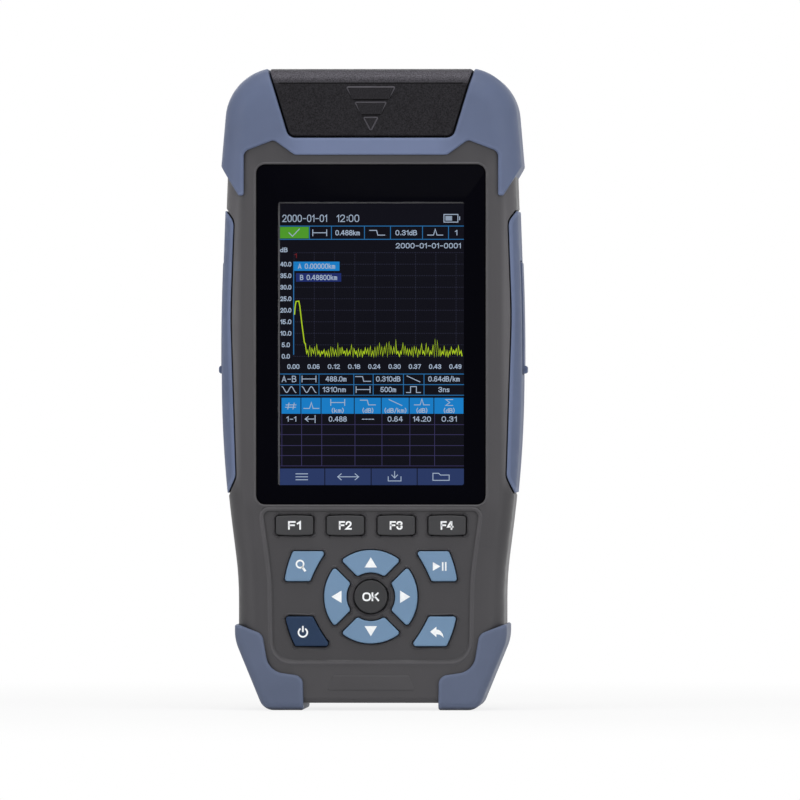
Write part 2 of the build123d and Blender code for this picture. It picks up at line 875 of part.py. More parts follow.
# Front shell with the lens seat, the keypad and the bosses
with BuildPart() as front_shell:
    add(housing)
    add(cavity, mode=Mode.SUBTRACT)
    split(bisect_by=face_at(0), keep=Keep.TOP)
    with BuildSketch(face_at(boss_y)):
        with Locations((0, lens_mid_z)):
            RectangleRounded(
                lens_width + 2 * ledge_margin, lens_height + 2 * ledge_margin, lens_radius + ledge_margin
            )
    extrude(amount=boss_y - ledge_y)
    with BuildSketch(face_at(boss_y)):
        with Locations(board_screw_places):
            Circle(board_boss_radius)
    extrude(amount=boss_y - board_front_y)
    with BuildSketch(face_at(boss_y)):
        with Locations(keypad_screw_places):
            Circle(keypad_boss_radius)
    extrude(amount=boss_y - keypad_board_y)
    with BuildSketch(face_at(boss_y)):
        with Locations(housing_screw_places):
            Circle(housing_boss_radius)
    extrude(amount=boss_y)
    with Locations((0, boss_y + shelf_reach / 2, shelf_z)):
        Box(2 * shelf_half, shelf_reach, shelf_thickness)
    add(skin_recesses.part, mode=Mode.SUBTRACT)
    add(bay.part, mode=Mode.SUBTRACT)
    add(socket_holes.part, mode=Mode.SUBTRACT)
    add(keypad_recess.part, mode=Mode.SUBTRACT)
    with BuildSketch(face_at(front_y + pocket_depth)):
        with Locations((0, lens_mid_z)):
            RectangleRounded(lens_width + 2 * lens_gap, lens_height + 2 * lens_gap, lens_radius + lens_gap)
    extrude(amount=beyond, mode=Mode.SUBTRACT)
    with BuildSketch(face_at(ledge_y)):
        with Locations((0, window_mid_z)):
            Rectangle(window_width + 2 * window_gap, window_height + 2 * window_gap)
    extrude(amount=beyond, mode=Mode.SUBTRACT)
    with BuildSketch(face_at(inner_front_y)):
        add(list(key_outlines.values()))
    extrude(amount=beyond, mode=Mode.SUBTRACT)
    with BuildSketch(face_at(board_front_y)):
        with Locations(board_screw_places):
            Circle(board_screw_radius + press_play)
    extrude(amount=board_screw_bite, mode=Mode.SUBTRACT)
    with BuildSketch(face_at(keypad_board_y)):
        with Locations(keypad_screw_places):
            Circle(board_screw_radius + press_play)
    extrude(amount=keypad_screw_bite, mode=Mode.SUBTRACT)
    with BuildSketch(face_at(0)):
        with Locations(housing_screw_places):
            Circle(housing_screw_radius + press_play)
    extrude(amount=housing_screw_bite + housing_screw_room, mode=Mode.SUBTRACT)
keep(front_shell.part, "front_shell")

# Lugs that carry the pin of the top cover: middle and width along X
side_lug_x = lug_end - lug_width / 2
lugs = {0: 2 * (barrel_inner - barrel_gap), -side_lug_x: lug_width, side_lug_x: lug_width}

# Rear shell with the cover hinge, the kickstand pan and the battery bay
with BuildPart() as rear_shell:
    add(housing)
    add(cavity, mode=Mode.SUBTRACT)
    split(bisect_by=face_at(0), keep=Keep.BOTTOM)
    with BuildSketch(face_at(rear_boss_y)):
        with Locations(housing_screw_places):
            Circle(rear_boss_radius)
    extrude(amount=rear_boss_y)
    with BuildSketch(face_at(rear_boss_y)):
        with Locations((0, stand_mid_z)):
            Rectangle(2 * stand_pin_half, pan_length + 2 * stand_pan)
        with Locations((0, scoop_z)):
            Rectangle(scoop_width + 2 * stand_pan, scoop_height + 2 * (stand_gap + stand_pan))
    extrude(amount=rear_boss_y - pan_y)
    with BuildSketch(face_at(rear_boss_y)):
        with Locations((0, battery_mid_z)):
            Rectangle(battery_cover_width + 2 * battery_wall, battery_cover_height + 2 * battery_wall)
    extrude(amount=rear_boss_y - battery_ledge_y + battery_ledge)
    with BuildSketch(face_at(rear_boss_y)):
        with Locations((0, battery_mid_z)):
            Rectangle(battery_bay_width + 2 * battery_wall, battery_bay_height + 2 * battery_wall)
        with Locations(battery_screw_places):
            Circle(board_boss_radius)
    extrude(amount=rear_boss_y - battery_floor_y + battery_wall)
    with Locations((0, rear_boss_y - shelf_reach / 2, shelf_z)):
        Box(2 * shelf_half, shelf_reach, shelf_thickness)
    add(skin_recesses.part, mode=Mode.SUBTRACT)
    add(bay.part, mode=Mode.SUBTRACT)
    add(socket_holes.part, mode=Mode.SUBTRACT)
    with BuildSketch(Plane.YZ):
        with Locations((hinge_y, hinge_z)):
            Circle(hinge_barrel_radius + barrel_gap)
    extrude(amount=lug_end, both=True, mode=Mode.SUBTRACT)
    for x, width in lugs.items():
        with BuildSketch(Plane.YZ.offset(x)):
            with Locations((hinge_y, hinge_z)):
                Circle(lug_radius)
            with Locations((hinge_y + hinge_barrel_radius / 2 + barrel_gap, hinge_z - lug_radius / 2)):
                Rectangle(hinge_barrel_radius + 2 * barrel_gap, lug_radius)
        extrude(amount=width / 2, both=True)
    with BuildSketch(Plane.YZ):
        with Locations((hinge_y, hinge_z)):
            Circle(hinge_pin_radius + press_play)
    extrude(amount=pin_half, both=True, mode=Mode.SUBTRACT)
    with BuildSketch(face_at(0)):
        with Locations(housing_screw_places):
            Circle(housing_screw_radius + screw_clear)
    extrude(amount=-beyond, mode=Mode.SUBTRACT)
    with BuildSketch(face_at(counterbore_y)):
        with Locations(housing_screw_places):
            Circle(housing_head_radius + screw_clear)
    extrude(amount=-beyond, mode=Mode.SUBTRACT)
    with BuildSketch(face_at(rear_y - stand_depth)):
        with Locations((0, stand_mid_z)):
            RectangleRounded(pan_width, pan_length, stand_corner + stand_gap)
        with Locations((0, stand_mid_z + pan_length / 4)):
            Rectangle(pan_width, pan_length / 2)
    extrude(amount=-beyond, mode=Mode.SUBTRACT)
    with BuildSketch(face_at(rear_y - scoop_depth)):
        with Locations((0, stand_low_z)):
            RectangleRounded(scoop_width, 2 * scoop_height, stand_corner / 2)
    extrude(amount=-beyond, mode=Mode.SUBTRACT)
    with BuildSketch(Plane.YZ):
        with Locations((stand_axis_y, stand_axis_z)):
            Circle(stand_pin_radius + press_play)
    extrude(amount=stand_pin_half, both=True, mode=Mode.SUBTRACT)
    with BuildSketch(face_at(battery_ledge_y)):
        with Locations((0, battery_mid_z)):
            RectangleRounded(
                battery_cover_width + 2 * seat_gap, battery_cover_height + 2 * seat_gap, battery_cover_corner
            )
    extrude(amount=-beyond, mode=Mode.SUBTRACT)
    with BuildSketch(face_at(battery_floor_y)):
        with Locations((0, battery_mid_z)):
            Rectangle(battery_bay_width, battery_bay_height)
    extrude(amount=-beyond, mode=Mode.SUBTRACT)
    with BuildSketch(face_at(battery_ledge_y)):
        with Locations(battery_screw_places):
            Circle(board_screw_radius + press_play)
    extrude(amount=board_screw_bite, mode=Mode.SUBTRACT)
keep(rear_shell.part, "rear_shell")

# Top cover: a front plate and a top plate in one piece, with two hinge barrels and three grip marks
cover_outline = mirrored(bay_points(0, cover_low_z, cover_top_z + beyond))
cover_slab = slab(cover_outline, both([cover_corner, 0]), -beyond, beyond)
cover_notch_y = hinge_y - hinge_barrel_radius - cover_notch
cover_inner_y = cover_front_y + cover_thickness
cover_inner_z = cover_top_z - cover_thickness
with BuildPart() as top_cover:
    with BuildSketch(Plane.YZ):
        with BuildLine():
            FilletPolyline(
                (cover_front_y, cover_low_z),
                (cover_front_y, cover_top_z),
                (hinge_y, cover_top_z),
                (hinge_y, cover_low_z),
                radius=[0, cover_roll, 0, 0],
                close=True,
            )
        make_face()
    extrude(amount=reach_half, both=True)
    add(cover_slab, mode=Mode.INTERSECT)
    cover_rims = soft_edges(top_cover.part, [cover_slab])
    fillet([edge for edge in cover_rims if edge.center().Y < cover_notch_y], cover_edge)
    with BuildSketch(Plane.YZ):
        with BuildLine():
            FilletPolyline(
                (cover_inner_y, -beyond),
                (cover_inner_y, cover_inner_z),
                (beyond, cover_inner_z),
                (beyond, -beyond),
                radius=[0, cover_roll - cover_thickness, 0, 0],
                close=True,
            )
        make_face()
    extrude(amount=reach_half, both=True, mode=Mode.SUBTRACT)
    with BuildSketch(Plane.XY.offset(cover_low_z)):
        with Locations((0, cover_notch_y + beyond / 2)):
            Rectangle(2 * barrel_inner, beyond)
        with Locations(both_sides([(barrel_outer + beyond / 2, cover_notch_y + beyond / 2)])):
            Rectangle(beyond, beyond)
    extrude(amount=2 * cover_height, mode=Mode.SUBTRACT)
    with BuildSketch(Plane.YZ.offset(barrel_inner), Plane.YZ.offset(-barrel_outer)):
        with Locations((hinge_y, hinge_z)):
            Circle(hinge_barrel_radius)
    extrude(amount=barrel_length)
    with BuildSketch(Plane.YZ):
        with Locations((hinge_y, hinge_z)):
            Circle(hinge_pin_radius + hinge_play)
    extrude(amount=reach_half, both=True, mode=Mode.SUBTRACT)
    with BuildSketch(face_at(cover_front_y + cover_thickness / 2)):
        for row in range(mark_rows):
            drop = row * (mark_bar + mark_space)
            high = cover_top_z - mark_drop - drop
            low = high - mark_bar
            top_half = mark_half * (1 - drop / mark_length)
            low_half = top_half - mark_lean * mark_bar
            last = row == mark_rows - 1
            low_points = [(0, low)] if last else [(low_half, low), (-low_half, low)]
            with BuildLine():
                Polyline((-top_half, high), (top_half, high), *low_points, close=True)
            make_face()
    extrude(amount=cover_thickness / 2 + mark_height)
keep(top_cover.part, "top_cover")

with BuildPart() as top_cover_pin:
    with BuildSketch(Plane.YZ):
        with Locations((hinge_y, hinge_z)):
            Circle(hinge_pin_radius)
    extrude(amount=pin_half - seat_gap, both=True)
keep(top_cover_pin.part, "top_cover_pin")

# Port panel: floor, leaning side walls, rear wall and a deck under the hinge
port_places = {name: (step * port_pitch, -port_setback) for step, name in enumerate(port_barrels, start=-1)}
panel_side = seat_gap - panel_wall
panel_outer = mirrored(bay_points(seat_gap, cover_low_z - panel_floor / 2, panel_top_z))
panel_inner = mirrored(bay_points(panel_side, cover_low_z, panel_top_z + seat_gap))
under_deck = mirrored(bay_points(panel_side, cover_low_z, deck_z - deck_thickness))
panel_block = slab(panel_outer, 0, panel_front_y, panel_rear_y)
panel_bay = slab(panel_inner, 0, panel_front_y - seat_gap, deck_y - panel_wall)
deck_hollow = slab(under_deck, 0, deck_y, panel_rear_y + seat_gap)
with BuildPart() as port_panel:
    add(panel_block)
    add([panel_bay, deck_hollow], mode=Mode.SUBTRACT)
    with Locations((0, deck_y + beyond / 2, deck_z + beyond / 2)):
        Box(2 * reach_half, beyond, beyond, mode=Mode.SUBTRACT)
    with BuildSketch(Plane.XY.offset(panel_low_z)):
        with Locations((0, (panel_front_y + panel_rear_y) / 2)):
            Rectangle(2 * (cover_low_half + panel_margin), panel_rear_y - panel_front_y)
    extrude(amount=panel_floor)
    with BuildSketch(Plane.XY.offset(panel_low_z)):
        with Locations(list(port_places.values())):
            Circle(port_stem_radius + seat_gap)
    extrude(amount=panel_floor, mode=Mode.SUBTRACT)
keep(port_panel.part, "port_panel")

# Optical ports: a stem through the panel, a flange, a barrel and the sleeve that takes the ferrule
flange_top_z = cover_low_z + port_flange
cup_floor_z = flange_top_z + port_flange
port_top = cover_low_z + port_top_rise
bore_floor_z = cover_low_z + port_floor
sleeve_radius = ferrule_bore + sleeve_wall
for name, barrel_radius in port_barrels.items():
    x, y = port_places[name]
    cup_radius = barrel_radius - port_rim
    profile_points = [
        (0, stem_low_z),
        (port_stem_radius, stem_low_z),
        (port_stem_radius, cover_low_z),
        (port_flange_radius, cover_low_z),
        (port_flange_radius, flange_top_z),
        (barrel_radius, flange_top_z),
        (barrel_radius, port_top),
        (cup_radius, port_top),
        (cup_radius, cup_floor_z),
        (sleeve_radius, cup_floor_z),
        (sleeve_radius, sleeve_top_z),
        (ferrule_bore, sleeve_top_z),
        (ferrule_bore, bore_floor_z),
        (0, bore_floor_z),
    ]
    with BuildPart() as port:
        with BuildSketch(Plane(origin=(x, y, 0), x_dir=(1, 0, 0), z_dir=(0, -1, 0))):
            with BuildLine():
                Polyline(*profile_points, close=True)
            make_face()
        revolve(axis=Axis((x, y, 0), (0, 0, 1)))
    keep(port.part, name)

# Main board with notches for the housing bosses, and the optical engine on its back
with BuildPart() as main_board:
    with BuildSketch(face_at(board_front_y)):
        with Locations((0, (board_low_z + board_top_z) / 2)):
            RectangleRounded(2 * (board_screw_x + board_overhang), board_top_z - board_low_z, board_overhang)
        with Locations(board_screw_places):
            Circle(board_screw_radius + screw_clear, mode=Mode.SUBTRACT)
        with Locations(housing_screw_places):
            Circle(housing_boss_radius + board_edge_clear, mode=Mode.SUBTRACT)
    extrude(amount=-board_thickness)
keep(main_board.part, "main_board")

with BuildPart() as optical_engine:
    with BuildSketch(face_at(board_rear_y)):
        with Locations((0, board_top_z - engine_height / 2)):
            RectangleRounded(2 * engine_half, engine_height, engine_edge)
    extrude(amount=-engine_depth)
    chamfer(optical_engine.faces().sort_by(Axis.Y)[-1].edges(), engine_edge / 2)
keep(optical_engine.part, "optical_engine")

with BuildPart() as fibre_pigtails:
    with BuildSketch(Plane.XY.offset(board_top_z)):
        with Locations(list(port_places.values())):
            Circle(pigtail_radius)
    extrude(amount=stem_low_z - board_top_z)
keep(fibre_pigtails.part, "fibre_pigtails")

# Display: lens, adhesive, metal frame, glass, backlight and the cushion behind them
with BuildPart() as display_lens:
    with BuildSketch(face_at(front_y + lens_sunk + lens_thickness)):
        with Locations((0, lens_mid_z)):
            RectangleRounded(lens_width, lens_height, lens_radius)
    extrude(amount=lens_thickness)
    chamfer(display_lens.faces().sort_by(Axis.Y)[0].edges(), lens_sunk)
keep(display_lens.part, "display_lens")

with BuildPart() as lens_adhesive:
    with BuildSketch(face_at(front_y + pocket_depth)):
        with Locations((0, lens_mid_z)):
            RectangleRounded(lens_width - 2 * lens_gap, lens_height - 2 * lens_gap, lens_radius)
        with Locations((0, window_mid_z)):
            Rectangle(window_width, window_height, mode=Mode.SUBTRACT)
    extrude(amount=adhesive_thickness)
keep(lens_adhesive.part, "lens_adhesive")

with BuildPart() as lcd_frame:
    with BuildSketch(face_at(lcd_front_y)):
        with Locations((0, lcd_mid_z)):
            Rectangle(2 * lcd_half, lcd_height)
    extrude(amount=-lcd_depth)
    with BuildSketch(face_at(lcd_glass_y)):
        with Locations((0, lcd_mid_z)):
            Rectangle(2 * (lcd_half - lcd_sheet), lcd_height - 2 * lcd_sheet)
    extrude(amount=-lcd_depth, mode=Mode.SUBTRACT)
    with BuildSketch(face_at(lcd_glass_y)):
        with Locations((lcd_lip_shift, window_mid_z - lcd_lip_shift)):
            Rectangle(window_width, window_height)
    extrude(amount=lcd_sheet, mode=Mode.SUBTRACT)
keep(lcd_frame.part, "lcd_frame")

lcd_inset = lcd_sheet + seat_gap
lcd_backlight_y = lcd_glass_y + lcd_glass
for name, y, thickness in (
    ("lcd_panel", lcd_glass_y, lcd_glass),
    ("lcd_backlight", lcd_backlight_y, lcd_back_y - lcd_backlight_y),
):
    with BuildPart() as layer:
        with BuildSketch(face_at(y)):
            with Locations((0, lcd_mid_z)):
                Rectangle(2 * (lcd_half - lcd_inset), lcd_height - 2 * lcd_inset)
        extrude(amount=-thickness)
    keep(layer.part, name)

with BuildPart() as lcd_cushion:
    with BuildSketch(face_at(lcd_back_y + seat_gap)):
        with Locations((0, lcd_mid_z)):
            RectangleRounded(2 * (lcd_half - cushion_inset), lcd_height - 2 * cushion_inset, cushion_inset)
    extrude(amount=-cushion_thickness)
keep(lcd_cushion.part, "lcd_cushion")

# Keypad board, its dome switches and the buzzer on its back
with BuildPart() as keypad_board:
    with BuildSketch(face_at(keypad_board_y)):
        with Locations((0, (keypad_low_z + keypad_top_z) / 2)):
            RectangleRounded(2 * keypad_board_half, keypad_board_height, keypad_board_inset)
        with Locations(keypad_screw_places):
            Circle(board_screw_radius + screw_clear, mode=Mode.SUBTRACT)
    extrude(amount=-board_thickness)
keep(keypad_board.part, "keypad_board")

with BuildPart() as dome_switches:
    with BuildSketch(face_at(keypad_board_y)):
        with Locations(list(key_centres.values())):
            Circle(dome_radius)
    extrude(amount=dome_height, taper=dome_taper)
keep(dome_switches.part, "dome_switches")

with BuildPart() as buzzer:
    with BuildSketch(face_at(keypad_board_rear_y)):
        with Locations((0, pad_z)):
            Circle(buzzer_radius)
    extrude(amount=-buzzer_height)
    with BuildSketch(face_at(keypad_board_rear_y + buzzer_height)):
        with Locations((0, pad_z)):
            Circle(buzzer_hole)
    extrude(amount=buzzer_height / 2, mode=Mode.SUBTRACT)
keep(buzzer.part, "buzzer")

# Network socket on the back of the main board, with a mouth and a latch slot to the left
with BuildPart() as network_socket:
    with BuildSketch(Plane.YZ.offset(-socket_face_x)):
        with Locations((network_y, port_mid_z)):
            Rectangle(network_height, network_width)
    extrude(amount=network_length)
    with BuildSketch(Plane.YZ.offset(-socket_face_x)):
        with Locations((network_y, port_mid_z)):
            Rectangle(network_mouth_height, network_mouth_width)
        with Locations((network_y + network_mouth_height / 2, port_mid_z)):
            Rectangle(2 * latch_height, latch_width)
    extrude(amount=network_mouth_depth, mode=Mode.SUBTRACT)
keep(network_socket.part, "network_socket")


def flat_socket(y, z, height, width, length):
    """A flat metal socket facing right, hollow from its mouth, with a tongue inside."""
    with BuildPart() as socket:
        with BuildSketch(Plane.YZ.offset(socket_face_x)):
            with Locations((y, z)):
                Rectangle(height, width)
        extrude(amount=-length)
        with BuildSketch(Plane.YZ.offset(socket_face_x)):
            with Locations((y, z)):
                Rectangle(height - 2 * socket_skin, width - 2 * socket_skin)
        extrude(amount=-socket_depth, mode=Mode.SUBTRACT)
        with BuildSketch(Plane.YZ.offset(socket_face_x - socket_skin)):
            with Locations((y, z)):
                Rectangle(socket_skin, width / 2)
        extrude(amount=-socket_depth)
    return socket.part


keep(flat_socket(charge_y, charge_z, charge_height, charge_width, charge_length), "charging_socket")
keep(flat_socket(card_y, card_z, card_height, card_width, card_length), "card_socket")

# Side port covers: a flap that follows the grip, with a round hinge end above and a pull tab below
flap_inner = skin_recess - move_gap
flap_half = (flap_inner + port_cover_proud) / 2
flap_axis_z = port_top_z - flap_half
flap_axis_x = side_x(flap_axis_z) + (port_cover_proud - flap_inner) / 2
flap_span = [(0, port_low_z), (reach_half, port_low_z), (reach_half, flap_axis_z), (0, flap_axis_z)]
flap_radii = both(housing_radii(0))
with BuildPart() as right_port_cover:
    with BuildSketch(face_at(-port_cover_depth / 2)):
        with BuildLine():
            FilletPolyline(*mirrored(housing_points(port_cover_proud)), radius=flap_radii, close=True)
        make_face()
        with BuildLine():
            FilletPolyline(*mirrored(housing_points(-flap_inner)), radius=flap_radii, close=True)
        make_face(mode=Mode.SUBTRACT)
        with BuildLine():
            Polyline(*flap_span, close=True)
        make_face(mode=Mode.INTERSECT)
        with Locations((flap_axis_x, flap_axis_z)):
            Circle(flap_half)
    extrude(amount=-port_cover_depth)
    flap_ends = right_port_cover.edges().filter_by(Axis.X)
    fillet([edge for edge in flap_ends if edge.center().Z < port_low_z + seat_gap], port_cover_corner)
    with BuildSketch(face_at(-tab_depth / 2)):
        with Locations((grip_half + port_cover_proud, port_low_z + tab_length / 2)):
            RectangleRounded(2 * tab_proud, tab_length, tab_round)
    extrude(amount=-tab_depth)
keep(right_port_cover.part, "right_port_cover")
keep(mirror(right_port_cover.part, about=Plane.YZ), "left_port_cover")

# Kickstand with a shallow dish on its inner face, and its pin
stand_front_y = stand_axis_y - stand_thickness / 2
with BuildPart() as kickstand:
    with BuildSketch(face_at(stand_front_y)):
        with Locations((0, (stand_low_z + stand_axis_z) / 2)):
            Rectangle(stand_width, stand_axis_z - stand_low_z)
    extrude(amount=-stand_thickness)
    stand_corners = kickstand.edges().filter_by(Axis.Y)
    fillet([edge for edge in stand_corners if edge.center().Z < stand_low_z + seat_gap], stand_corner)
    with BuildSketch(Plane.YZ):
        with Locations((stand_axis_y, stand_axis_z)):
            Circle(stand_thickness / 2)
    extrude(amount=stand_width / 2, both=True)
    with BuildSketch(Plane.YZ):
        with Locations((stand_axis_y, stand_axis_z)):
            Circle(stand_pin_radius + hinge_play)
    extrude(amount=stand_width, both=True, mode=Mode.SUBTRACT)
    with BuildSketch(face_at(stand_front_y)):
        with Locations((0, stand_mid_z)):
            RectangleRounded(stand_width - 2 * stand_rim, stand_length - 3 * stand_rim, stand_corner)
    extrude(amount=-stand_dish, mode=Mode.SUBTRACT)
keep(kickstand.part, "kickstand")

with BuildPart() as kickstand_pin:
    with BuildSketch(Plane.YZ):
        with Locations((stand_axis_y, stand_axis_z)):
            Circle(stand_pin_radius)
    extrude(amount=stand_pin_half - seat_gap, both=True)
keep(kickstand_pin.part, "kickstand_pin")

# Battery pack and its cover
with BuildPart() as battery_pack:
    with BuildSketch(face_at(battery_rear_y)):
        with Locations((0, battery_mid_z)):
            RectangleRounded(battery_width, battery_height, battery_gap)
    extrude(amount=battery_thickness)
    fillet(battery_pack.edges().filter_by(Axis.Y, reverse=True), battery_edge)
keep(battery_pack.part, "battery_pack")

with BuildPart() as battery_cover:
    with BuildSketch(face_at(rear_y)):
        with Locations((0, battery_mid_z)):
            RectangleRounded(
                battery_cover_width - 2 * seat_gap,
                battery_cover_height - 2 * seat_gap,
                battery_cover_corner - 2 * seat_gap,
            )
    extrude(amount=battery_cover_thickness)
    with BuildSketch(face_at(rear_y)):
        with Locations(battery_screw_places):
            Circle(board_screw_radius + screw_clear)
    extrude(amount=battery_cover_thickness, mode=Mode.SUBTRACT)
    with BuildSketch(face_at(rear_y)):
        with Locations(battery_screw_places):
            Circle(board_head_radius + screw_clear)
    extrude(amount=rear_y - battery_seat_y, mode=Mode.SUBTRACT)
keep(battery_cover.part, "battery_cover")


# Screws
def screws(places, seat_y, radius, length, head_radius, head_height):
    """Screws with a cross recess: the head stands behind the seat and the shank runs forwards from it."""
    with BuildPart() as group:
        with BuildSketch(face_at(seat_y)):
            with Locations(places):
                Circle(radius)
        extrude(amount=length)
        with BuildSketch(face_at(seat_y)):
            with Locations(places):
                Circle(head_radius)
        extrude(amount=-head_height)
        with BuildSketch(face_at(seat_y + head_height)):
            with Locations(places):
                Rectangle(driver_length * head_radius, driver_width * head_radius)
                Rectangle(driver_width * head_radius, driver_length * head_radius)
        extrude(amount=head_height / 2, mode=Mode.SUBTRACT)
    return group.part


def board_fasteners(places, seat_y, length):
    """Small screws, as used for the boards and the battery cover."""
    return screws(places, seat_y, board_screw_radius, length, board_head_radius, board_head_height)


housing_screws = screws(
    housing_screw_places,
    counterbore_y,
    housing_screw_radius,
    counterbore_y + housing_screw_bite,
    housing_head_radius,
    housing_head_height,
)
main_board_screws = board_fasteners(
    board_screw_places, board_rear_y, board_thickness + board_screw_bite - seat_gap
)
keypad_board_screws = board_fasteners(
    keypad_screw_places, keypad_board_rear_y, board_thickness + keypad_screw_bite - seat_gap
)
with BuildPart() as board_screws:
    add([main_board_screws, keypad_board_screws])
keep(housing_screws, "housing_screws")
keep(board_screws.part, "board_screws")
keep(board_fasteners(battery_screw_places, battery_seat_y, board_screw_bite), "battery_cover_screws")
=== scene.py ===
import math

import bmesh
import bpy
import numpy as np
from bpy.props import FloatProperty, FloatVectorProperty, PointerProperty
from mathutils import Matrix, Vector


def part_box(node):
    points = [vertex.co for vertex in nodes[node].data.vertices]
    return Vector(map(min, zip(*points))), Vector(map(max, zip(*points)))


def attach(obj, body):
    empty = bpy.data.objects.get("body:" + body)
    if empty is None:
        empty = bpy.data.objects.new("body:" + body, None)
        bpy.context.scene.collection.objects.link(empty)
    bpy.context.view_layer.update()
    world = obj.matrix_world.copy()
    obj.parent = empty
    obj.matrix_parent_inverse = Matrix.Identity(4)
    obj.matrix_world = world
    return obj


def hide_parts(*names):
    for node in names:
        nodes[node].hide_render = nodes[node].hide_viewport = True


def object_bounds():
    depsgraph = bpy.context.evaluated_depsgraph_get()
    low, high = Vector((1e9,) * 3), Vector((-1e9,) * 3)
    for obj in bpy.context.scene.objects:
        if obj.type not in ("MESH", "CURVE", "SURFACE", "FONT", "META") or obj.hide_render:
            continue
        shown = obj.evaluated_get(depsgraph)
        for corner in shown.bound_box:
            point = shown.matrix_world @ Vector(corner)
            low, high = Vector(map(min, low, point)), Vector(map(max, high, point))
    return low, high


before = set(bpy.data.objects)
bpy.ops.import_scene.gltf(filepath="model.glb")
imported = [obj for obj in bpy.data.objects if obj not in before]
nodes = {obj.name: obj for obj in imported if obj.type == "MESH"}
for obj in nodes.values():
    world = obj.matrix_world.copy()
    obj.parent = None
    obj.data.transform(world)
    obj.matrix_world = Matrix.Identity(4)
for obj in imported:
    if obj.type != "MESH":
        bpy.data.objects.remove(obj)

cad_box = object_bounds()

bl_info = {
    "name": "Fibre Reflectometer",
    "version": (1, 0, 0),
    "blender": (4, 5, 0),
    "location": "3D View > Sidebar > Reflectometer",
    "description": "Finishes, display, key legends and stage of a handheld optical time domain reflectometer",
    "category": "Object",
}

MM = 0.001
SKIN = 0.04 * MM
SHARP_ANGLE = math.radians(35)
KEYS = [name for name in nodes if name.startswith("key_")]


# Settings
def tint(label, description, value):
    """A colour setting, in linear light."""
    return FloatVectorProperty(
        name=label, description=description, default=value, subtype="COLOR", size=3, min=0, max=1
    )


def length(label, description, value):
    """A length setting, given in millimetres."""
    return FloatProperty(name=label, description=description, default=value * MM, unit="LENGTH", min=0)


def amount(label, description, value, high=100):
    """A plain number setting."""
    return FloatProperty(name=label, description=description, default=value, min=0, max=high)


class ReflectometerColours(bpy.types.PropertyGroup):
    shell: tint("Shell", "Moulded housing", (0.056, 0.054, 0.058))
    bumper: tint("Bumper", "Soft cap over the upper corners", (0.108, 0.135, 0.222))
    foot: tint("Feet", "Soft lower corners", (0.102, 0.125, 0.193))
    grip: tint("Grips", "Soft side panels and port covers", (0.108, 0.136, 0.224))
    cover: tint("Top cover", "Hinged cover over the optical ports", (0.0145, 0.0138, 0.016))
    lens: tint("Lens border", "Print behind the display lens", (0.001, 0.001, 0.0026))
    key_grey: tint("Grey keys", "Function keys and the middle key", (0.046, 0.046, 0.049))
    key_blue: tint("Blue keys", "Arrow keys and three of the corner keys", (0.163, 0.268, 0.408))
    key_dark: tint("Power key", "Dark blue corner key", (0.014, 0.034, 0.08))
    legend: tint("Legends", "Print on the keys", (0.93, 0.95, 0.98))
    ground: tint("Display ground", "Dark part of the picture", (0.0065, 0.0065, 0.011))
    figures: tint("Display figures", "Numbers in the picture", (0.4, 0.49, 0.63))
    trace: tint("Display trace", "Measured curve", (0.45, 0.65, 0.02))
    header: tint("Display heading", "Heading of the event table", (0.0116, 0.223, 0.61))
    softkey: tint("Display soft keys", "Cells above the function keys", (0.027, 0.046, 0.138))
    passed: tint("Display result", "Green result cell", (0.085, 0.34, 0.027))
    rules: tint("Display rules", "Lines between the cells of the picture", (0.025, 0.17, 0.42))
    grid: tint("Display grid", "Dots of the graph's grid", (0.03, 0.032, 0.06))
    table: tint("Display table", "Lines of the event table", (0.045, 0.04, 0.12))
    event: tint("Display event", "Number of the event on the graph", (0.16, 0.014, 0.018))
    marker: tint("Display marker", "Cell of the second marker", (0.016, 0.03, 0.16))


class ReflectometerSizes(bpy.types.PropertyGroup):
    lens_corner: length("Lens corner", "Corner radius of the lens", 2.3)
    lens_edge: length("Lens edge", "Bevel round the front of the lens", 0.25)
    window_half: length("Window half width", "Half the width of the clear window", 24.5)
    window_low: length("Window low edge", "Height of the window's lower edge", 59.3)
    window_high: length("Window high edge", "Height of the window's upper edge", 133.9)
    window_corner: length("Window corner", "Corner radius of the clear window", 0.6)
    picture_front: length("Picture depth", "How far the picture lies in front of the middle plane", 16.0)
    figure_height: length("Function figures", "Capital height on the function keys", 2.25)
    figure_width: length("Function width", "Width of the letters on a function key", 3.4)
    figure_line: length("Letter line", "Line width of the letters on the keys", 0.44)
    middle_height: length("Middle letters", "Capital height on the middle key", 2.3)
    middle_width: length("Middle width", "Width of the letters on the middle key", 4.4)
    arrow_width: length("Arrow width", "Base of an arrow mark", 3.27)
    arrow_height: length("Arrow height", "Height of an arrow mark", 2.67)
    arrow_reach: length("Arrow reach", "Distance of an arrow mark from the middle key", 9.05)
    icon_line: length("Icon line", "Line width of the key icons", 0.44)


class ReflectometerStage(bpy.types.PropertyGroup):
    azimuth: FloatProperty(
        name="Azimuth",
        description="Camera to the right of the front",
        default=math.radians(2.0),
        subtype="ANGLE",
    )
    distance: length("Distance", "Camera distance from its aim", 4000)
    focal: amount("Focal length", "Lens of the camera in millimetres", 680.0, 2000)
    aim_right: length("Aim right", "Aim to the right of the middle of the part", 6.98)
    aim_below: length("Aim below", "Aim below the middle of the part", 2.8)
    ambient: amount("Ambient", "Light from all round", 0.42)
    front_power: amount("Front light", "Power of the front and rear lights in watts", 2.6)
    top_power: amount("Top light", "Power of the top light in watts", 4.2)
    side_power: amount("Side light", "Power of each side light in watts", 2.3)


def colours():
    return bpy.context.scene.reflectometer_colours


def sizes():
    return bpy.context.scene.reflectometer_sizes


def stage_settings():
    return bpy.context.scene.reflectometer_stage


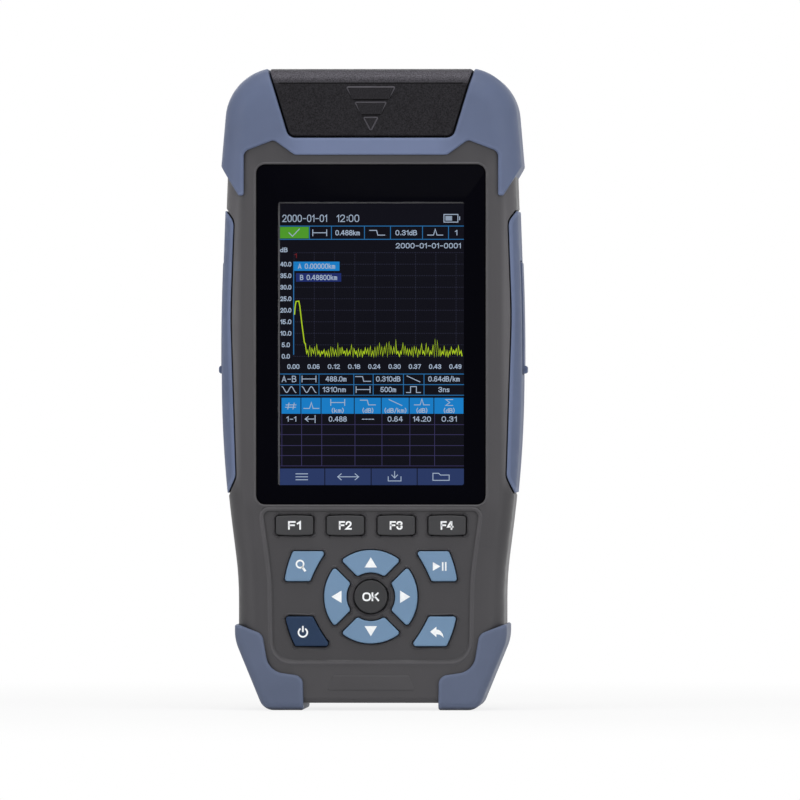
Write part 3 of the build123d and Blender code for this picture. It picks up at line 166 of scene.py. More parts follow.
# Finishes
class Finish:
    """A procedural material: its shader, and patterns read from Object coordinates."""

    def __init__(self, name):
        self.material = bpy.data.materials.new(name)
        self.material.use_nodes = True
        self.tree = self.material.node_tree
        self.shader = self.tree.nodes["Principled BSDF"]
        self.place = self.add("ShaderNodeTexCoord").outputs["Object"]
        self.axes = None

    def add(self, kind, **settings):
        node = self.tree.nodes.new(kind)
        for key, value in settings.items():
            setattr(node, key, value)
        return node

    def feed(self, socket, value):
        """Links an output to an input, or sets the input to a plain value."""
        if isinstance(value, bpy.types.NodeSocket):
            self.tree.links.new(value, socket)
        else:
            socket.default_value = value

    def stretched(self, scale):
        """Object coordinates scaled along each axis."""
        mapping = self.add("ShaderNodeMapping")
        self.feed(mapping.inputs["Vector"], self.place)
        mapping.inputs["Scale"].default_value = scale
        return mapping.outputs["Vector"]

    def noise(self, scale, detail=2.0, vector=None):
        node = self.add("ShaderNodeTexNoise")
        self.feed(node.inputs["Vector"], vector or self.place)
        node.inputs["Scale"].default_value = scale
        node.inputs["Detail"].default_value = detail
        return node.outputs["Fac"]

    def between(self, factor, first, second):
        """A colour between two, by a factor."""
        node = self.add("ShaderNodeMix", data_type="RGBA")
        self.feed(node.inputs["Factor"], factor)
        self.feed(node.inputs["A"], first)
        self.feed(node.inputs["B"], second)
        return node.outputs["Result"]

    def spread(self, value, low, high, from_low=0.3, from_high=0.7):
        """A value moved from one range to another."""
        node = self.add("ShaderNodeMapRange")
        self.feed(node.inputs["Value"], value)
        node.inputs["From Min"].default_value = from_low
        node.inputs["From Max"].default_value = from_high
        node.inputs["To Min"].default_value = low
        node.inputs["To Max"].default_value = high
        return node.outputs["Result"]

    def relief(self, height, strength, depth):
        """Bump from a height, with its depth in millimetres."""
        node = self.add("ShaderNodeBump")
        self.feed(node.inputs["Height"], height)
        node.inputs["Strength"].default_value = strength
        node.inputs["Distance"].default_value = depth * MM
        self.feed(self.shader.inputs["Normal"], node.outputs["Normal"])

    def crevice(self, distance, inside=False):
        """How open a place is: 1 on an open face, 0 in a narrow gap or, looking inwards, at a sharp edge."""
        node = self.add("ShaderNodeAmbientOcclusion", samples=8, inside=inside, only_local=inside)
        node.inputs["Distance"].default_value = distance * MM
        return node.outputs["AO"]

    def within(self, axis, low, high, soft):
        """1 between two places along an axis in millimetres, falling to 0 over a soft width at either end."""
        if self.axes is None:
            self.axes = self.add("ShaderNodeSeparateXYZ")
            self.feed(self.axes.inputs["Vector"], self.place)
        place = self.axes.outputs[axis]
        rise = self.spread(place, 0, 1, (low - soft) * MM, low * MM)
        fall = self.spread(place, 1, 0, high * MM, (high + soft) * MM)
        return self.times(rise, fall)

    def times(self, first, second):
        node = self.add("ShaderNodeMath", operation="MULTIPLY")
        self.feed(node.inputs[0], first)
        self.feed(node.inputs[1], second)
        return node.outputs[0]

    def scaled(self, colour, value):
        """A colour times a value."""
        node = self.add("ShaderNodeMix", data_type="RGBA", blend_type="MULTIPLY", clamp_result=False)
        node.inputs["Factor"].default_value = 1.0
        self.feed(node.inputs["A"], colour)
        self.feed(node.inputs["B"], value)
        return node.outputs["Result"]

    def set(self, **values):
        for key, value in values.items():
            self.feed(self.shader.inputs[key.replace("_", " ")], value)


def rgba(colour, gain=1.0):
    return [min(1.0, channel * gain) for channel in colour[:3]] + [1.0]


# Painted highlights along convex edges and painted shade in narrow gaps: how far they reach in millimetres,
# how open they are, and the tone in them
EDGE_REACH, EDGE_OPEN, EDGE_HIGHLIGHT_TONE = 1.2, (0.45, 0.95), 1.8
GAP_REACH, GAP_OPEN, GAP_SHADE_TONE = 1.3, (0.15, 0.8), 0.1
SEAM = (-0.3, 0.3, 0.5)
MOTTLE_SCALE = 55


def moulded(name, colour, roughness, grain, depth, mottle=0.06, specular=0.22, gap_shade=0.75, **extra):
    """Moulded plastic or rubber: broad mottling, fine grain and painted shade in narrow gaps.

    Extras are speckle, how far single grains are lighter or darker; edge, a share of painted highlight along
    convex edges; seam, the tone along the parting plane; and zones, each a range along x, y and z with a soft
    width, in millimetres, and the tone of the colour in it.
    """
    finish = Finish(name)
    fine = finish.noise(grain, 1.5)
    broad = finish.spread(finish.noise(MOTTLE_SCALE, 3), 0, 1)
    base = finish.between(broad, rgba(colour, 1 - mottle), rgba(colour, 1 + mottle))
    for x, y, z, tone in extra.get("zones", ()):
        across = finish.times(finish.within("X", *x), finish.within("Z", *z))
        base = finish.between(finish.times(across, finish.within("Y", *y)), base, rgba(colour, tone))
    if extra.get("speckle"):
        grains = finish.spread(finish.noise(1.6 * grain, 1), 1 - extra["speckle"], 1 + 2 * extra["speckle"])
        base = finish.scaled(base, grains)
    if extra.get("edge"):
        # Painted highlight: lighter along convex edges, where rays traced inwards soon meet other faces
        edge_highlight = finish.spread(finish.crevice(EDGE_REACH, inside=True), extra["edge"], 0, *EDGE_OPEN)
        base = finish.between(edge_highlight, base, rgba(colour, EDGE_HIGHLIGHT_TONE))
    if extra.get("seam"):
        base = finish.between(finish.within("Y", *SEAM), base, rgba(colour, extra["seam"]))
    # Painted shade: darker in narrow gaps and crevices, where nearby parts enclose the place
    gap = finish.spread(finish.crevice(GAP_REACH), gap_shade, 0, *GAP_OPEN)
    base = finish.between(gap, base, rgba(colour, GAP_SHADE_TONE))
    finish.set(Base_Color=base, Specular_IOR_Level=specular)
    finish.set(Roughness=finish.spread(finish.noise(grain / 6, 2), roughness - 0.06, roughness + 0.06))
    finish.relief(fine, 0.5, depth)
    return finish.material


def sheet_metal(name, colour, roughness, streaks):
    """Rolled or plated metal: fine streaks in tone and roughness along one axis."""
    finish = Finish(name)
    lines = finish.noise(1, 3, finish.stretched(streaks))
    finish.set(
        Base_Color=finish.between(finish.spread(lines, 0, 1), rgba(colour, 0.85), rgba(colour, 1.1)),
        Roughness=finish.spread(lines, roughness - 0.08, roughness + 0.1),
        Metallic=1.0,
    )
    finish.relief(lines, 0.25, 0.01)
    return finish.material


def circuit_board(name):
    """Solder mask with darker and lighter runs of copper under it."""
    finish = Finish(name)
    bricks = finish.add("ShaderNodeTexBrick")
    finish.feed(bricks.inputs["Vector"], finish.place)
    bricks.inputs["Scale"].default_value = 260
    bricks.inputs["Mortar Size"].default_value = 0.03
    broad = finish.between(finish.noise(120, 4), (0.008, 0.06, 0.025, 1), (0.02, 0.14, 0.06, 1))
    finish.set(
        Base_Color=finish.between(bricks.outputs["Fac"], broad, (0.05, 0.2, 0.09, 1)),
        Roughness=finish.spread(finish.noise(400), 0.3, 0.45),
    )
    finish.relief(bricks.outputs["Fac"], 0.3, 0.03)
    return finish.material


def lit(name, colour, gain=1.0):
    """A lit part of the picture, with a slightly uneven backlight."""
    finish = Finish(name)
    uneven = finish.noise(30, 1)
    tone = finish.between(finish.spread(uneven, 0, 1), rgba(colour, 0.94 * gain), rgba(colour, 1.06 * gain))
    finish.set(Base_Color=rgba(colour, 0), Emission_Color=tone, Emission_Strength=1.0, Roughness=0.1)
    finish.set(Specular_IOR_Level=0.015)
    return finish.material


def print_ink(name, colour):
    """Screen-printed ink: slightly uneven tone and a matt surface."""
    finish = Finish(name)
    uneven = finish.spread(finish.noise(900, 2), 0, 1)
    finish.set(
        Base_Color=finish.between(uneven, rgba(colour, 0.92), rgba(colour, 1.05)),
        Roughness=finish.spread(finish.noise(1500), 0.5, 0.65),
        Specular_IOR_Level=0.3,
    )
    return finish.material


def dressed(names, material):
    """Gives CAD nodes a material."""
    for name in names:
        slots = nodes[name].data.materials
        slots.clear()
        slots.append(material)


# Shapes
def sweep_faces(profile, path, closed_profile):
    """Four-sided faces of a grid of profile steps by path points, closed along the path."""
    step = np.arange(profile if closed_profile else profile - 1)[:, None]
    point = np.arange(path)[None, :]
    after = (step + 1) % profile
    beside = (point + 1) % path
    corners = [step * path + point, step * path + beside, after * path + beside, after * path + point]
    return np.stack(np.broadcast_arrays(*corners), axis=-1).reshape(-1, 4)


def mesh_from(vertices, faces):
    mesh = bpy.data.meshes.new("shape")
    mesh.from_pydata(vertices.tolist(), [], [list(face) for face in faces])
    return mesh


def rounded_outline(low_x, low_z, high_x, high_z, radius):
    """A rectangle with round corners, counter-clockwise."""
    return soft_outline([(low_x, low_z), (high_x, low_z), (high_x, high_z), (low_x, high_z)], radius)


def grown_outline(low, high, by, radius):
    """The front outline of a box, grown on all sides, with round corners that keep their middles."""
    return rounded_outline(low.x - by, low.z - by, high.x + by, high.z + by, radius + by)


def soft_outline(corners, radii, steps=8):
    """A polygon with round corners: each corner is an arc that touches its two sides, counter-clockwise."""
    corners = np.asarray(corners, float)
    to_last = np.roll(corners, 1, axis=0) - corners
    to_next = np.roll(corners, -1, axis=0) - corners
    to_last /= np.linalg.norm(to_last, axis=1, keepdims=True)
    to_next /= np.linalg.norm(to_next, axis=1, keepdims=True)
    half = np.arccos(np.clip(np.sum(to_last * to_next, axis=1), -1, 1)) / 2
    left_turn = np.sign(to_last[:, 1] * to_next[:, 0] - to_last[:, 0] * to_next[:, 1])
    radii = np.broadcast_to(np.asarray(radii, float), half.shape)[:, None]
    inward = to_last + to_next
    inward /= np.linalg.norm(inward, axis=1, keepdims=True)
    middle = corners + inward * radii / np.sin(half)[:, None]
    turn = np.linspace(-0.5, 0.5, steps)[None, :] * ((math.pi - 2 * half) * left_turn)[:, None]
    x = middle[:, :1] - radii * (inward[:, :1] * np.cos(turn) - inward[:, 1:] * np.sin(turn))
    z = middle[:, 1:] - radii * (inward[:, :1] * np.sin(turn) + inward[:, 1:] * np.cos(turn))
    return np.stack([x.ravel(), z.ravel()], axis=-1)


def carried(outline, profile, capped=False):
    """A profile of (side, depth) steps carried round a closed outline: points move along its normal."""
    ahead = np.roll(outline, -1, axis=0) - outline
    ahead /= np.linalg.norm(ahead, axis=1, keepdims=True)
    ahead = ahead + np.roll(ahead, 1, axis=0)
    outward = np.stack([ahead[:, 1], -ahead[:, 0]], axis=-1)
    outward /= np.linalg.norm(outward, axis=1, keepdims=True)
    loops = [np.insert(outline + side * outward, 1, y, axis=1) for side, y in profile]
    count = len(outline)
    faces = sweep_faces(len(loops), count, not capped).tolist()
    if capped:
        last = (len(loops) - 1) * count
        faces += [list(range(count))[::-1], list(range(last, last + count))]
    return mesh_from(np.concatenate(loops), faces)


def ridge(width, height, face, steps=9):
    """Cross-section of a soft ridge: a squared cosine across its width, its foot sunk behind the face."""
    across = np.linspace(0.5, -0.5, steps)
    crest = [(width * place, face - height * math.cos(math.pi * place) ** 2) for place in across]
    return [(width / 2, face + SKIN)] + crest + [(-width / 2, face + SKIN)]


def raised(face, steps):
    """Cross-section of a raised edge: its foot behind the face, then steps inwards and up, in millimetres."""
    return [(0, face + SKIN)] + [(side * MM, face - rise * MM) for side, rise in steps]


def prism(outline, front, back):
    """An outline seen counter-clockwise from the front, carried straight from back to front and capped."""
    return carried(np.asarray(outline, float), [(0, back), (0, front)], capped=True)


def slabs(boxes, front, back):
    """Flat blocks: each row gives low x, low z, high x and high z, and the depth is the same for all."""
    low_x, low_z, high_x, high_z = np.asarray(boxes, float).T
    x = np.stack([low_x, high_x, high_x, low_x], axis=-1)
    z = np.stack([low_z, low_z, high_z, high_z], axis=-1)
    near = np.stack([x, np.full_like(x, front), z], axis=-1)
    far = np.stack([x, np.full_like(x, back), z], axis=-1)
    vertices = np.concatenate([near, far], axis=1).reshape(-1, 3)
    block = [[0, 1, 2, 3], [7, 6, 5, 4], [0, 4, 5, 1], [1, 5, 6, 2], [2, 6, 7, 3], [3, 7, 4, 0]]
    faces = (np.arange(len(low_x))[:, None, None] * 8 + np.array(block)[None]).reshape(-1, 4)
    return mesh_from(vertices, faces)


MITRE_LEAST = 0.4


def stroke(path, width, front, back, closed=False):
    """A flat bar carried along a path: points move to either side along their mitre, open ends are square."""
    path = np.array(path, float)
    ahead = np.roll(path, -1, axis=0) - path
    if not closed:
        ahead[-1] = ahead[-2]
    ahead /= np.linalg.norm(ahead, axis=1, keepdims=True)
    behind = np.roll(ahead, 1, axis=0)
    if not closed:
        behind[0] = ahead[0]
        path[0] -= ahead[0] * width / 2
        path[-1] += ahead[-1] * width / 2
    side = np.stack([-ahead[:, 1], ahead[:, 0]], axis=-1)
    mitre = side + np.stack([-behind[:, 1], behind[:, 0]], axis=-1)
    mitre /= np.linalg.norm(mitre, axis=1, keepdims=True)
    mitre *= width / 2 / np.clip(np.sum(mitre * side, axis=1, keepdims=True), MITRE_LEAST, 1)
    left = path + mitre
    right = path - mitre
    corners = [(left, front), (right, front), (right, back), (left, back)]
    vertices = np.stack([np.insert(edge, 1, y, axis=1) for edge, y in corners], axis=1).reshape(-1, 3)
    count = len(path)
    point = np.arange(count if closed else count - 1)[:, None]
    corner = np.arange(4)[None, :]
    next_point = (point + 1) % count
    next_corner = (corner + 1) % 4
    quads = [(point, corner), (point, next_corner), (next_point, next_corner), (next_point, corner)]
    quads = np.broadcast_arrays(*[at * 4 + turn for at, turn in quads])
    faces = np.stack(quads, axis=-1).reshape(-1, 4).tolist()
    if not closed:
        end = (count - 1) * 4
        faces += [[0, 3, 2, 1], [end, end + 1, end + 2, end + 3]]
    return mesh_from(vertices, faces)


def arc(middle, radius, start, stop, steps=32):
    """Points on a circle between two angles in degrees."""
    turn = np.radians(np.linspace(start, stop, steps))
    return np.stack([middle[0] + radius * np.cos(turn), middle[1] + radius * np.sin(turn)], axis=-1)


ROUND = [(0, 0.28), (0, 0.72), (0.07, 0.9), (0.2, 1), (0.4, 1), (0.53, 0.9), (0.6, 0.72), (0.6, 0.28)]
ROUND += [(0.53, 0.1), (0.4, 0), (0.2, 0), (0.07, 0.1), (0, 0.28)]
LOWER_BOWL = [(0.15, 0.55), (0.45, 0.55), (0.58, 0.44), (0.6, 0.28), (0.53, 0.1), (0.4, 0), (0.2, 0)]
LOWER_BOWL += [(0.07, 0.1)]
# Lines of each letter, in shares of its height
GLYPHS = {
    "0": [ROUND],
    "O": [[(x * 1.3, z) for x, z in ROUND]],
    "1": [[(0, 0.76), (0.26, 1), (0.26, 0)]],
    "2": [
        [(0, 0.72), (0.06, 0.9), (0.2, 1), (0.42, 1), (0.56, 0.9), (0.6, 0.72), (0.52, 0.52)]
        + [(0, 0), (0.62, 0)]
    ],
    "3": [
        [(0, 0.78), (0.08, 0.93), (0.22, 1), (0.4, 1), (0.54, 0.92), (0.58, 0.76), (0.5, 0.6), (0.26, 0.53)],
        [(0.26, 0.53), (0.5, 0.47), (0.6, 0.28), (0.54, 0.1), (0.4, 0), (0.2, 0), (0.06, 0.08), (0, 0.24)],
    ],
    "4": [[(0.5, 0), (0.5, 1)], [(0.38, 0.98), (0, 0.3), (0.66, 0.3)]],
    "5": [[(0.56, 1), (0.08, 1), (0.03, 0.52), (0.2, 0.6), (0.42, 0.6)] + LOWER_BOWL[3:] + [(0, 0.22)]],
    "6": [
        [(0.54, 0.9), (0.38, 1), (0.2, 1), (0.05, 0.84), (0, 0.3), (0.03, 0.42)]
        + LOWER_BOWL
        + [(0, 0.26)]
    ],
    "7": [[(0, 1), (0.6, 1), (0.2, 0)]],
    "8": [
        [(0.18, 0.55), (0.04, 0.68), (0.04, 0.86), (0.18, 1), (0.42, 1), (0.56, 0.86), (0.56, 0.68)]
        + [(0.42, 0.55)],
        [(0.18, 0.52), (0.42, 0.52), (0.6, 0.36), (0.6, 0.16), (0.44, 0), (0.16, 0), (0, 0.16), (0, 0.36)]
        + [(0.18, 0.52)],
    ],
    "9": [
        [(0.06, 0.1), (0.22, 0), (0.4, 0), (0.55, 0.16), (0.6, 0.7), (0.53, 0.9), (0.4, 1), (0.2, 1)]
        + [(0.07, 0.9), (0, 0.72), (0.07, 0.54), (0.2, 0.45), (0.42, 0.45), (0.56, 0.56)]
    ],
    "(": [[(0.2, 1.1), (0.06, 0.85), (0, 0.5), (0.06, 0.15), (0.2, -0.1)]],
    ")": [[(0, 1.1), (0.14, 0.85), (0.2, 0.5), (0.14, 0.15), (0, -0.1)]],
    "/": [[(0, -0.08), (0.4, 1.08)]],
    ".": [[(0.1, 0), (0.1, 0.14)]],
    ":": [[(0.1, 0.14), (0.1, 0.28)], [(0.1, 0.6), (0.1, 0.74)]],
    "-": [[(0.04, 0.46), (0.5, 0.46)]],
    " ": [],
    "A": [[(0, 0), (0.32, 1), (0.64, 0)], [(0.14, 0.3), (0.5, 0.3)]],
    "B": [
        [(0, 0), (0, 1), (0.36, 1), (0.54, 0.9), (0.54, 0.64), (0.36, 0.53), (0.04, 0.53)],
        [(0.36, 0.53), (0.6, 0.4), (0.6, 0.12), (0.4, 0), (0, 0)],
    ],
    "F": [[(0, 0), (0, 1), (0.6, 1)], [(0.06, 0.52), (0.52, 0.52)]],
    "K": [[(0, 0), (0, 1)], [(0.62, 1), (0.06, 0.38)], [(0.24, 0.6), (0.68, 0)]],
    "d": [[(0.5, 1), (0.5, 0)], [(0.5, 0.55), (0.15, 0.66), (0, 0.45), (0, 0.2), (0.15, 0), (0.5, 0.1)]],
    "k": [[(0, 0), (0, 1)], [(0.42, 0.66), (0.04, 0.3)], [(0.18, 0.42), (0.48, 0)]],
    "m": [[(0, 0), (0, 0.66), (0.3, 0.66), (0.3, 0)], [(0.3, 0.66), (0.6, 0.6), (0.6, 0)]],
    "n": [[(0, 0), (0, 0.66), (0.36, 0.66), (0.46, 0.5), (0.46, 0)]],
    "s": [[(0.42, 0.6), (0.1, 0.66), (0, 0.5), (0.42, 0.2), (0.36, 0.02), (0, 0.04)]],
}
GLYPH_SPACE = 0.28
GLYPH_BLANK = 0.4


def lettering(text, middle, height, line, front, back, width):
    """Letters drawn as strokes: glyphs side by side, scaled to a height and a width about a middle."""
    lines, cursor = [], 0.0
    for letter in text:
        drawn = [np.asarray(path, float) for path in GLYPHS[letter]]
        lines += [path + [cursor, 0] for path in drawn]
        cursor += max((path[:, 0].max() for path in drawn), default=GLYPH_BLANK) + GLYPH_SPACE
    tall = height - line
    wide = (width - line) / (cursor - GLYPH_SPACE)
    origin = np.asarray(middle) - np.array([(cursor - GLYPH_SPACE) * wide, tall]) / 2
    meshes = []
    for path in lines:
        closed = len(path) > 3 and np.allclose(path[0], path[-1])
        path = path[:-1] if closed else path
        meshes.append(stroke(origin + path * [wide, tall], line, front, back, closed))
    return meshes


def piece(name, meshes, material, body):
    """Joins meshes into one object at the origin, which rides on a body."""
    joined = bmesh.new()
    for mesh in meshes:
        joined.from_mesh(mesh)
        bpy.data.meshes.remove(mesh)
    result = bpy.data.meshes.new(name)
    joined.to_mesh(result)
    joined.free()
    if not len(result.polygons):
        raise RuntimeError(f"{name} has no faces")
    made = bpy.data.objects.new(name, result)
    bpy.context.scene.collection.objects.link(made)
    result.materials.append(material)
    result.polygons.foreach_set("use_smooth", np.ones(len(result.polygons), bool))
    result.set_sharp_from_angle(angle=SHARP_ANGLE)
    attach(made, body)
    return made


def middle_of(node):
    """The middle of a CAD node seen from the front."""
    low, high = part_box(node)
    return np.array([(low.x + high.x) / 2, (low.z + high.z) / 2])


# Operators
class FinishHousing(bpy.types.Operator):
    """Finish the shells, soft skins and covers"""

    bl_idname = "reflectometer.finish_housing"
    bl_label = "Housing Finishes"

    def execute(self, context):
        tints = colours()
        front = (-20.2, -19.7, 0.2)
        # Tones of the front shell: a little darker in the keypad recess, painted highlights on the shoulders
        # beside the lens, brighter painted highlights along the edges by the grips, and a little lighter
        # across the bottom of the front
        keypad = [((-29, 29, 1), (-19.6, -19.3, 0.2), (12, 54, 1), 0.92)]
        shoulder_highlights = [((low, low + 7, 1), front, (56, 143, 4), 1.15) for low in (-37.8, 30.8)]
        edges = [((low, low + 3, 1.2), (-20.2, -16, 1), (62, 140, 5), 1.75) for low in (-38.3, 35.3)]
        zones = keypad + shoulder_highlights + edges + [((-20, 20, 1), front, (-1, 10.5, 1.5), 1.1)]
        shell = moulded("front_plastic", tints.shell, 0.44, 2600, 0.03, specular=0.26, zones=zones)
        dressed(["front_shell"], shell)
        shell = moulded("shell_plastic", tints.shell, 0.44, 2600, 0.03, specular=0.26)
        dressed(["rear_shell", "battery_cover", "kickstand"], shell)

        # Soft parts: a painted highlight along their convex edges, and a darker tone along the parting plane
        seam = 0.7
        # Painted highlight on the bumper's strip between the cover and the lens, lighter as an upward-facing
        # slope would be
        band_highlight = [((-17, 17, 9), (-22, -15, 1), (143, 150.6, 2), 1.38)]
        bumper = moulded("bumper_rubber", tints.bumper, 0.5, 1900, 0.02, edge=0.45, seam=seam, zones=band_highlight)
        dressed(["top_bumper_front", "top_bumper_rear"], bumper)
        foot = moulded("foot_rubber", tints.foot, 0.5, 1900, 0.02, edge=0.45, seam=seam)
        dressed([name for name in nodes if "_foot_" in name], foot)
        grip = moulded("grip_rubber", tints.grip, 0.55, 2200, 0.03, edge=0.4, seam=seam)
        dressed([name for name in nodes if "_grip_" in name], grip)
        flap = moulded("port_cover_rubber", tints.grip, 0.55, 2200, 0.03, edge=0.4)
        dressed([name for name in nodes if "port_cover" in name], flap)

        across, front = (-30, 30, 1), (-22, -14, 1)
        # Painted highlight on the roll of the top cover, brightest along its crest
        roll = [(across, front, (165.3, 170, 0.15), 2.7), (across, front, (167.0, 167.9, 1.2), 5.0)]
        marks = [((-6.5, 6.5, 0.2), (-21.2, -20.85, 0.1), (152.8, 164.3, 0.2), 1.1)]
        look = {"specular": 0.07, "speckle": 0.4, "zones": roll + marks}
        dressed(["top_cover"], moulded("cover_plastic", tints.cover, 0.42, 2200, 0.06, **look))
        return {"FINISHED"}


class FinishKeys(bpy.types.Operator):
    """Finish the silicone keys"""

    bl_idname = "reflectometer.finish_keys"
    bl_label = "Key Finishes"

    def execute(self, context):
        tints = colours()
        grey = moulded("grey_silicone", tints.key_grey, 0.5, 3000, 0.015, mottle=0.04)
        blue = moulded("blue_silicone", tints.key_blue, 0.5, 3000, 0.015, mottle=0.03)
        dark = moulded("dark_blue_silicone", tints.key_dark, 0.5, 3000, 0.015, mottle=0.04)
        middle = moulded("middle_silicone", rgba(tints.key_grey, 0.78), 0.5, 3000, 0.015, mottle=0.04)
        dressed(KEYS, blue)
        dressed([f"key_f{number}" for number in range(1, 5)], grey)
        dressed(["key_ok"], middle)
        dressed(["key_power"], dark)
        return {"FINISHED"}


class FinishInside(bpy.types.Operator):
    """Finish the ports, boards, metal parts and other inner pieces"""

    bl_idname = "reflectometer.finish_inside"
    bl_label = "Inner Finishes"

    def execute(self, context):
        black = moulded("black_plastic", (0.014, 0.014, 0.015), 0.5, 1800, 0.03)
        dressed(["port_panel", "buzzer"], black)
        wrap = moulded("battery_wrap", (0.02, 0.028, 0.06), 0.35, 700, 0.02, mottle=0.1)
        dressed(["battery_pack"], wrap)
        dressed(["lens_adhesive", "lcd_cushion"], moulded("foam", (0.01, 0.01, 0.011), 0.85, 4200, 0.1))
        sheet = sheet_metal("tinned_sheet", (0.5, 0.5, 0.51), 0.32, (300, 300, 5000))
        dressed(["network_socket", "charging_socket", "card_socket"], sheet)
        dressed(["lcd_frame"], sheet_metal("dull_sheet", (0.16, 0.16, 0.17), 0.5, (300, 300, 5000)))
        steel = sheet_metal("plain_steel", (0.42, 0.42, 0.44), 0.3, (4000, 4000, 400))
        pins = ["top_cover_pin", "kickstand_pin", "dome_switches"]
        dressed(pins + ["housing_screws", "board_screws", "battery_cover_screws"], steel)
        aluminium = sheet_metal("satin_aluminium", (0.55, 0.55, 0.57), 0.4, (200, 3000, 200))
        dressed(["optical_engine"], aluminium)
        nickel = sheet_metal("nickel_plate", (0.62, 0.6, 0.57), 0.22, (900, 900, 2500))
        dressed(["otdr_port", "power_meter_port", "fault_locator_port"], nickel)
        dressed(["keypad_board", "main_board"], circuit_board("solder_mask"))
        dressed(["fibre_pigtails"], moulded("fibre_jacket", (0.68, 0.55, 0.08), 0.45, 3000, 0.01))
        diffuser = moulded("white_diffuser", (0.75, 0.75, 0.74), 0.6, 1200, 0.01, mottle=0.03)
        dressed(["lcd_backlight"], diffuser)
        dressed(["lcd_panel"], moulded("polariser", (0.012, 0.012, 0.016), 0.2, 900, 0.004, gap_shade=0))
        return {"FINISHED"}


class MakeLens(bpy.types.Operator):
    """Make the display lens: a clear window in a black printed border"""

    bl_idname = "reflectometer.make_lens"
    bl_label = "Display Lens"

    def execute(self, context):
        tints, size = colours(), sizes()
        low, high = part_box("display_lens")
        window = (-size.window_half, size.window_low, size.window_half, size.window_high)
        finish = Finish("lens_print")
        finish.set(
            Base_Color=finish.between(finish.noise(40), rgba(tints.lens, 0.8), rgba(tints.lens, 1.2)),
            Roughness=finish.spread(finish.noise(200), 0.06, 0.1),
            Specular_IOR_Level=0.015,
        )
        edge = size.lens_edge
        outer = [(0, high.y), (0, low.y + edge), (-0.3 * edge, low.y + 0.3 * edge), (-edge, low.y)]
        loops = [np.insert(grown_outline(low, high, by, size.lens_corner), 1, y, axis=1) for by, y in outer]
        opening = rounded_outline(*window, size.window_corner)
        loops += [np.insert(opening, 1, y, axis=1) for y in (low.y, high.y)]
        ring = mesh_from(np.concatenate(loops), sweep_faces(len(loops), len(opening), True))
        border = piece("lens_border", [ring], finish.material, "housing")
        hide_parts("display_lens")
        clear = Finish("lens_clear")
        clear.set(Base_Color=rgba(tints.lens, 0), Specular_IOR_Level=0.0)
        clear.set(Roughness=clear.spread(clear.noise(200), 0.1, 0.14))
        clear.set(Alpha=clear.spread(clear.noise(40), 0.055, 0.065))
        pane = prism(opening, low.y, high.y)
        window_piece = piece("lens_window", [pane], clear.material, "housing")
        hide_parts("display_lens")
        return {"FINISHED"}


